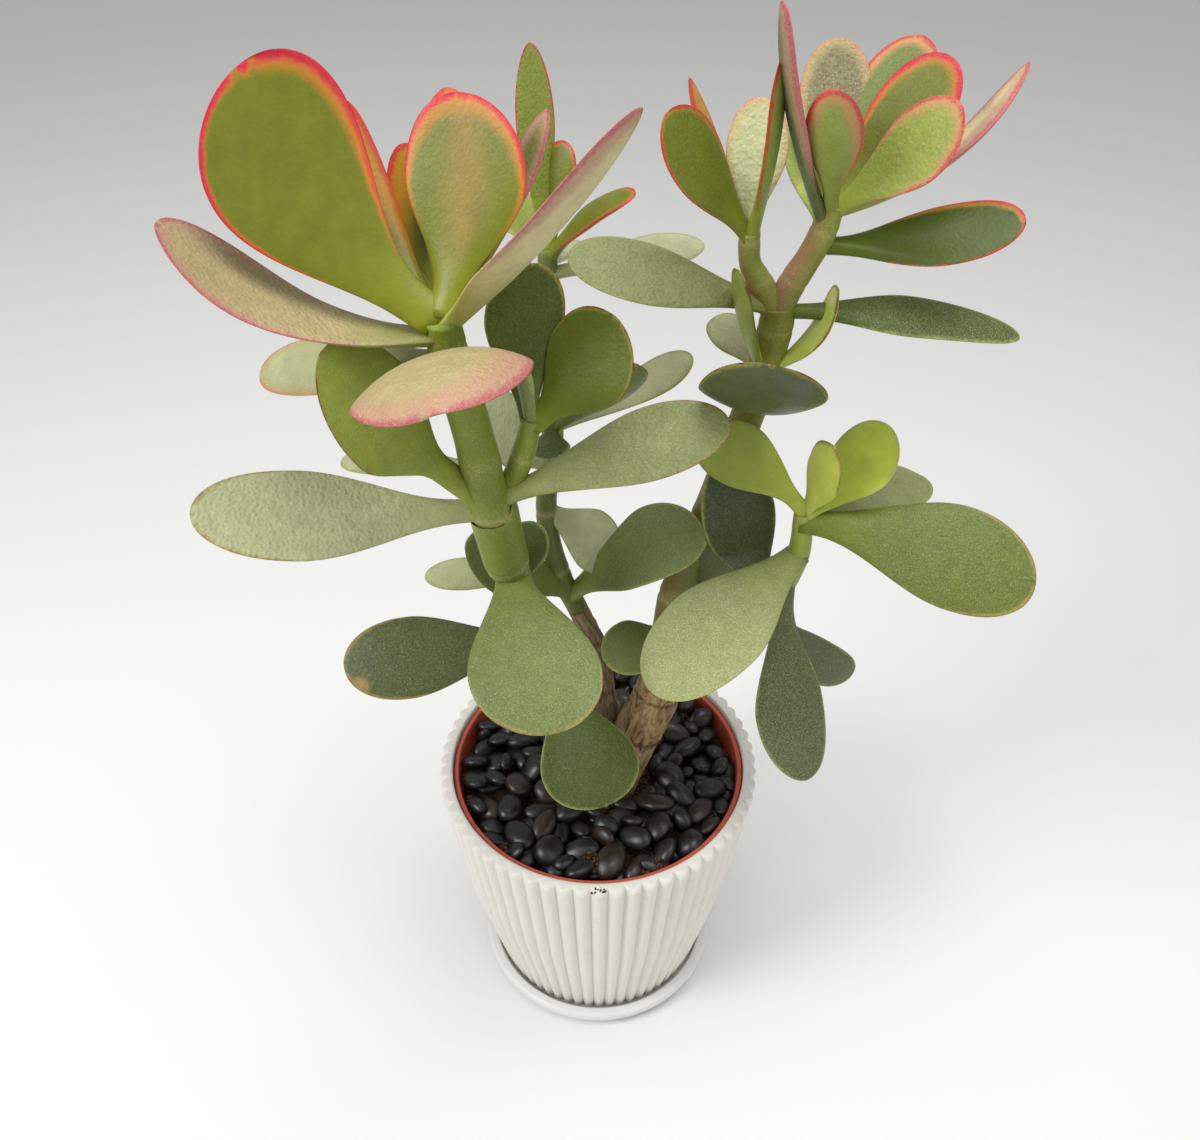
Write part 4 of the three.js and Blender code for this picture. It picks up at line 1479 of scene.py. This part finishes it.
@dataclass
class PebbleBed:
    """River pebbles dropped one by one into the growing pot until they reach its rim.

    Each pebble tries several places and takes the one where it comes to lie lowest, on a map of
    the pile's height. Geometry Nodes then put a stone at each place.

    Args:
        seed: seed of the random draws.
        count: how many pebbles are dropped.
        tries: places that each pebble tries.
        cell: cell size of the map, in millimetres.
        floor: height that the pile starts from.
        nestle: share of its size that a pebble rests with, so that neighbours touch.
        few: share of the pebbles that are small.
        wall: height on the map where no pebble may lie.
    """

    seed: int = 7
    count: int = 560
    tries: int = 30
    cell: float = 0.5
    floor: float = 107.0
    nestle: float = 0.84
    few: float = 0.22
    wall: float = 400.0

    def build(self, stone: Material) -> Object:
        """Builds the pebbles.

        Args:
            stone: their material.

        Returns:
            The object, a plain mesh.
        """
        rows = np.array(self._drop())
        places = lone_points("pebble_places", rows[:, :3], rows[:, 3:6], rows[:, 6:9])
        tone = places.data.attributes.new("tone", "FLOAT", "POINT")
        tone.data.foreach_set("value", rows[:, 9].astype(np.float32))
        values = {"Roundness": 3, "Unevenness": 0.12, "Material": stone}
        return apply_tree(places, self._tree(), values, "river_pebbles")

    def _drop(self) -> list:
        """Drops the pebbles.

        Returns:
            Rows of place, turn, half sizes and tone.
        """
        draw = np.random.default_rng(self.seed)
        span = int(2 * RIM_INSIDE / self.cell) + 8
        axis = (np.arange(span) - span / 2) * self.cell
        grid_x, grid_y = np.meshgrid(axis, axis, indexing="ij")
        pile = np.full((span, span), self.floor)
        pile[np.hypot(grid_x, grid_y) > RIM_INSIDE] = self.wall
        for rows in WOOD.values():
            path = smooth_path(rows, 6)
            passing = (path[:, 2] > self.floor - 3) & (path[:, 2] < POT_TOP + 8)
            for x, y, _, r in path[passing]:
                pile[np.hypot(grid_x - x, grid_y - y) < r + 0.2] = self.wall
        rows, laid = [], []
        # Half length, half width and half height of a pebble are drawn; a few pebbles are smaller.
        for _ in range(self.count):
            best = None
            half = np.array([draw.uniform(5.8, 8.0), draw.uniform(4.2, 5.7), draw.uniform(2.6, 3.7)])
            if draw.random() < self.few:
                half = half * 0.72
            for _ in range(self.tries):
                reach = (RIM_INSIDE - 3) * math.sqrt(draw.random())
                around = draw.random() * 2 * math.pi
                spin = (draw.normal(0, 0.4), draw.normal(0, 0.4), draw.random() * 2 * math.pi)
                place = (reach * math.cos(around), reach * math.sin(around))
                found = self._rest(pile, axis, grid_x, grid_y, place, spin, half * self.nestle)
                if found and (best is None or found[0] < best[0]):
                    best = (found[0], place, spin, found[1])
            if best is None or best[0] > POT_TOP - 3.2:
                continue
            height, place, spin, (window, top) = best
            pile[window] = np.maximum(pile[window], top)
            rows.append((*place, height, *spin, *half, draw.random()))
            laid.append((window, top))
        return [row for row, (window, top) in zip(rows, laid) if (top > pile[window] - 0.05).sum() > 12]

    @staticmethod
    def _rest(
        pile: np.ndarray, axis: np.ndarray, grid_x: np.ndarray, grid_y: np.ndarray,
        place: tuple, spin: tuple, half: np.ndarray,
    ) -> tuple | None:
        """Lowest height at which a pebble rests on the pile.

        Args:
            pile: height map of the pile.
            axis: coordinates of the map's rows and columns.
            grid_x: x of each cell.
            grid_y: y of each cell.
            place: x and y of the pebble's centre.
            spin: its turn.
            half: its half sizes.

        Returns:
            The centre's height, with the map window and the stone's top there, or None.
        """
        reach = float(half[0]) + 0.6
        i0, i1 = np.searchsorted(axis, [place[0] - reach, place[0] + reach])
        j0, j1 = np.searchsorted(axis, [place[1] - reach, place[1] + reach])
        if i0 < 0 or j0 < 0 or i1 >= len(axis) or j1 >= len(axis):
            return None
        window = (slice(i0, i1), slice(j0, j1))
        dx, dy = grid_x[window] - place[0], grid_y[window] - place[1]
        turn = np.array(Euler(spin, "XYZ").to_matrix())
        shape = turn @ np.diag(1 / half**2) @ turn.T
        a = shape[2, 2]
        b = 2 * (shape[0, 2] * dx + shape[1, 2] * dy)
        c = shape[0, 0] * dx**2 + shape[1, 1] * dy**2 + 2 * shape[0, 1] * dx * dy - 1
        under = b**2 - 4 * a * c
        inside = under > 0
        if not inside.any():
            return None
        root = np.sqrt(np.where(inside, under, 0))
        low, high = (-b - root) / (2 * a), (-b + root) / (2 * a)
        height = float((pile[window] - low)[inside].max())
        # Far above the pile, the stone would lie on the map's wall.
        if height > 200:
            return None
        top = np.where(inside, height + high, -1e3)
        return height, (window, top)

    @staticmethod
    def _tree() -> NodeTree:
        """Tree that puts an uneven stone at each place.

        Returns:
            A geometry node tree with inputs Roundness, Unevenness and Material.
        """
        tree, start, end = new_tree("lay pebbles", {"Roundness": "Int", "Unevenness": "Float"})
        laid = lay_balls(tree, start, start.outputs["Roundness"])
        tone = point_value(tree, "tone", "FLOAT")
        marked = add_node(tree, "GeometryNodeStoreNamedAttribute",
                          {"data_type": "FLOAT", "domain": "INSTANCE"},
                          {"Geometry": laid, "Name": "shade", "Value": tone})
        real = add_node(tree, "GeometryNodeRealizeInstances", None, {0: marked.outputs[0]})
        place = add_node(tree, "GeometryNodeInputPosition").outputs[0]
        grain = add_node(tree, "ShaderNodeTexNoise", {"noise_dimensions": "3D"},
                         {"Vector": place, "Scale": 90.0, "Detail": 1.0})
        reach = times(tree, start.outputs["Unevenness"], 0.016)
        off = times(tree, minus(tree, grain.outputs[0], 0.55), reach)
        normal = add_node(tree, "GeometryNodeInputNormal").outputs[0]
        push = add_node(tree, "ShaderNodeVectorMath", {"operation": "SCALE"}, {0: normal, "Scale": off})
        uneven = add_node(tree, "GeometryNodeSetPosition", None,
                          {"Geometry": real.outputs[0], "Offset": push.outputs[0]})
        finish_tree(tree, start, end, uneven.outputs[0])
        return tree


@dataclass
class Soil:
    """Compost in the growing pot, with crumbs heaped where they show between the pebbles.

    Args:
        seed: seed of the random draws.
        grains: crumbs in all heaps together.
        heaps: x, y, radius and top height of each heap.
        heap_depth: from a heap's foot to its top.
        spilled: how many crumbs lie on the white rim in front.
        spill: x, y and height where they lie.
    """

    seed: int = 3
    grains: int = 900
    heaps: tuple = (
        (-50.0, -18.0, 4.5, 115.0), (-34.0, -41.0, 5.5, 115.5), (-2.5, -45.0, 4.5, 117.0),
        (21.0, -47.0, 5.0, 116.2), (38.0, -38.0, 5.0, 115.0), (33.0, 27.0, 6.0, 115.0),
        (44.0, -26.0, 3.5, 114.5),
    )
    heap_depth: float = 4.0
    spilled: int = 14
    spill: tuple = (0.3, -60.0, 118.25)

    # Radius and height of the filling, up its side and over its top.
    FILLING = (
        (0, 8.4), (39.0, 8.4), (53.9, 106.2), (50, 106.8), (40, 106.2), (28, 107.0), (12, 106.6), (0, 106.6),
    )

    def build(self, compost: Material) -> list[Object]:
        """Builds the filling and the crumbs.

        Args:
            compost: the soil's material.

        Returns:
            The two objects.
        """
        return [turned("potting_soil", self.FILLING, 96, compost), self._crumbs(compost)]

    def _crumbs(self, compost: Material) -> Object:
        """Heaps of crumbs and short fibres, laid by Geometry Nodes on seeded places.

        Args:
            compost: the soil's material.

        Returns:
            The object, a plain mesh.
        """
        draw = np.random.default_rng(self.seed)
        places, turns, sizes = [], [], []
        for x, y, radius, top in self.heaps:
            for _ in range(self.grains // len(self.heaps)):
                reach, around = radius * math.sqrt(draw.random()), draw.random() * 2 * math.pi
                sink = 1.0 - (reach / radius) ** 2
                height = top - self.heap_depth + self.heap_depth * sink * draw.uniform(0.6, 1.0)
                spot = (x + reach * math.cos(around), y + reach * math.sin(around))
                if math.hypot(*spot) > RIM_INSIDE - 1.2:
                    continue
                places.append((*spot, height))
                turns.append(draw.uniform(0, 6.28, 3))
                fibre = draw.random() < 0.18
                sizes.append(
                    (draw.uniform(1.2, 2.2), 0.16, 0.14) if fibre else tuple(draw.uniform(0.3, 0.95, 3))
                )
        x, y, top = self.spill
        for _ in range(self.spilled):
            places.append((draw.normal(x, 1.6), y + draw.normal(0, 0.7), top))
            turns.append(draw.uniform(0, 6.28, 3))
            sizes.append(tuple(draw.uniform(0.25, 0.6, 3)))
        source = lone_points("crumb_places", places, turns, sizes)
        tree, start, end = new_tree("lay crumbs", {})
        finish_tree(tree, start, end, lay_balls(tree, start, 2))
        return apply_tree(source, tree, {"Material": compost}, "soil_crumbs")


@dataclass(frozen=True)
class RoundWare:
    """Moulded round piece, turned from one profile with rounded corners.

    Args:
        name: the piece's name.
        profile: radius and height pairs, in millimetres, up the outside and down the inside.
        rounding: how far from a corner its rounding starts, in millimetres.
        segments: points round.
    """

    name: str
    profile: tuple
    rounding: float
    segments: int

    def build(self, plastic: Material) -> Object:
        """Builds the piece in its material."""
        return turned(self.name, rounded(self.profile, self.rounding), self.segments, plastic)


# Thin growing pot; its rolled rim shows inside the ribbed pot.
GROWING_POT = RoundWare("growing_pot_shell", (
    (0, 6.6), (40.9, 6.6), (56.6, 112.0), (56.9, 116.7), (55.0, 116.7), (54.7, 112.0), (39.4, 8.1), (0, 8.1),
), 0.7, 144)
# Low saucer with a rolled rim.
SAUCER = RoundWare("saucer_dish", (
    (0, 0), (43, 0), (48.6, 1.6), (50.9, 6.6), (50.6, 8.6), (49.6, 9.4), (47, 9.4), (46.2, 8.6),
    (45.4, 3), (0, 3),
), 1.6, 160)


@dataclass
class Studio:
    """Pale floor, soft light and the camera.

    Args:
        floor_colour: colour of the floor.
        floor_reach: half its width, in millimetres.
        sky: strength of the white sky.
        aim: where the lamps point, in metres.
        lamps: name, place and size in metres, and power in watts of each lamp.
    """

    floor_colour: str = "#F2F2F0"
    floor_reach: float = 3000.0
    sky: float = 0.4
    aim: tuple = (0.0, 0.0, 0.2)
    lamps: tuple = (
        ("key_softbox", (-0.75, -0.45, 0.95), 0.45, 6.2),
        ("overhead_softbox", (0.12, -0.05, 1.15), 0.7, 6.2),
        ("fill_softbox", (0.6, -0.6, 0.9), 0.8, 1.2),
    )

    def build(self) -> None:
        """Makes the floor, the lights, the sky and the camera."""
        self._floor()
        self._lights()
        self._camera()

    def _floor(self) -> None:
        """Plain pale floor."""
        material, tree, shader, place = start_material("painted studio floor")
        feed(tree, shader, {"Base Color": linear(self.floor_colour), "Roughness": 0.9})
        bumped(tree, shader, noise_node(tree, place, 3.0, 2.0), 0.01)
        shell = Shell()
        size = self.floor_reach
        corners = np.array([(-size, -size, 0), (size, -size, 0), (size, size, 0), (-size, size, 0)], float)
        shell.add(corners, [(0, 1, 2, 3)], {})
        shell.build("studio_floor", material, smooth=False)

    def _lights(self) -> None:
        """Large soft lamps and a white sky."""
        world = bpy.data.worlds.new("studio_sky")
        world.use_nodes = True
        background = world.node_tree.nodes["Background"]
        feed(world.node_tree, background, {"Color": (1.0, 1.0, 1.0, 1.0), "Strength": self.sky})
        bpy.context.scene.world = world
        for name, spot, size, power in self.lamps:
            data = bpy.data.lights.new(name, "AREA")
            data.shape = "DISK"
            data.size = size
            data.energy = power
            lamp = put_in_scene(name, data)
            lamp.location = spot
            way = Vector(self.aim) - Vector(spot)
            lamp.rotation_euler = way.to_track_quat("-Z", "Y").to_euler()

    @staticmethod
    def _camera() -> None:
        """Camera at the photograph's place and angle."""
        data = bpy.data.cameras.new("studio_camera")
        data.lens = CAMERA_LENS
        data.sensor_width = FRAME_WIDTH
        camera = put_in_scene("studio_camera", data)
        camera.location = CAMERA_PLACE
        camera.rotation_euler = (math.radians(CAMERA_TILT), 0.0, 0.0)
        bpy.context.scene.camera = camera
        bpy.context.scene.view_settings.view_transform = "Standard"


def place(piece: Object, slot: str, *nodes: str) -> None:
    """Rides a finished piece on the body, hides the solids that it replaces, and logs its triangles.

    Args:
        piece: the piece.
        slot: the record's material slot; not used.
        nodes: nodes of the solids that it replaces.
    """
    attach(piece, BODY)
    if nodes:
        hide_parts(*nodes)
    triangles = sum(len(polygon.vertices) - 2 for polygon in piece.data.polygons)
    LOG.info("%s: %d triangles", piece.name, triangles)


def main() -> None:
    """Builds the studio, then the pots, the filling and the plant, and places each piece."""
    logging.basicConfig(level=logging.INFO)
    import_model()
    Studio().build()

    white = MouldedPlastic("warm white polypropylene, moulded", "#E9E7DE", "#9A9284", 0.1, 0.42).make()
    cool_white = MouldedPlastic("white polypropylene, moulded", "#ECECEA", "#A8A49A", 0.08, 0.35).make()
    terracotta = MouldedPlastic(
        "terracotta-coloured polypropylene, moulded", "#C65B45", "#5A2E20", 0.6, 0.45
    ).make()
    place(SAUCER.build(cool_white), "saucer", "saucer")
    place(RibbedPot().build(white), "cover_pot", "cover_pot")
    place(GROWING_POT.build(terracotta), "growing_pot", "growing_pot")

    filling, crumbs = Soil().build(PottingSoil().make())
    place(filling, "soil", "soil")
    place(crumbs, "soil")
    place(PebbleBed().build(RiverPebble().make()), "pebbles", "pebbles")

    place(Trunks().build(JadeBark().make()), "bark", "woody_base")
    skin = JadeSkin().make()
    for stem in (
        LeafyStem("front_stem", ("front", "front_side")),
        LeafyStem("rear_stem", ("rear",)),
        LeafyStem("right_stem", ("right", "right_left", "right_right")),
        LeafyStem("lower_shoot", ("lower",)),
    ):
        for piece in stem.build(skin):
            place(piece, "leaves", stem.name)


if __name__ == "__main__":
    main()
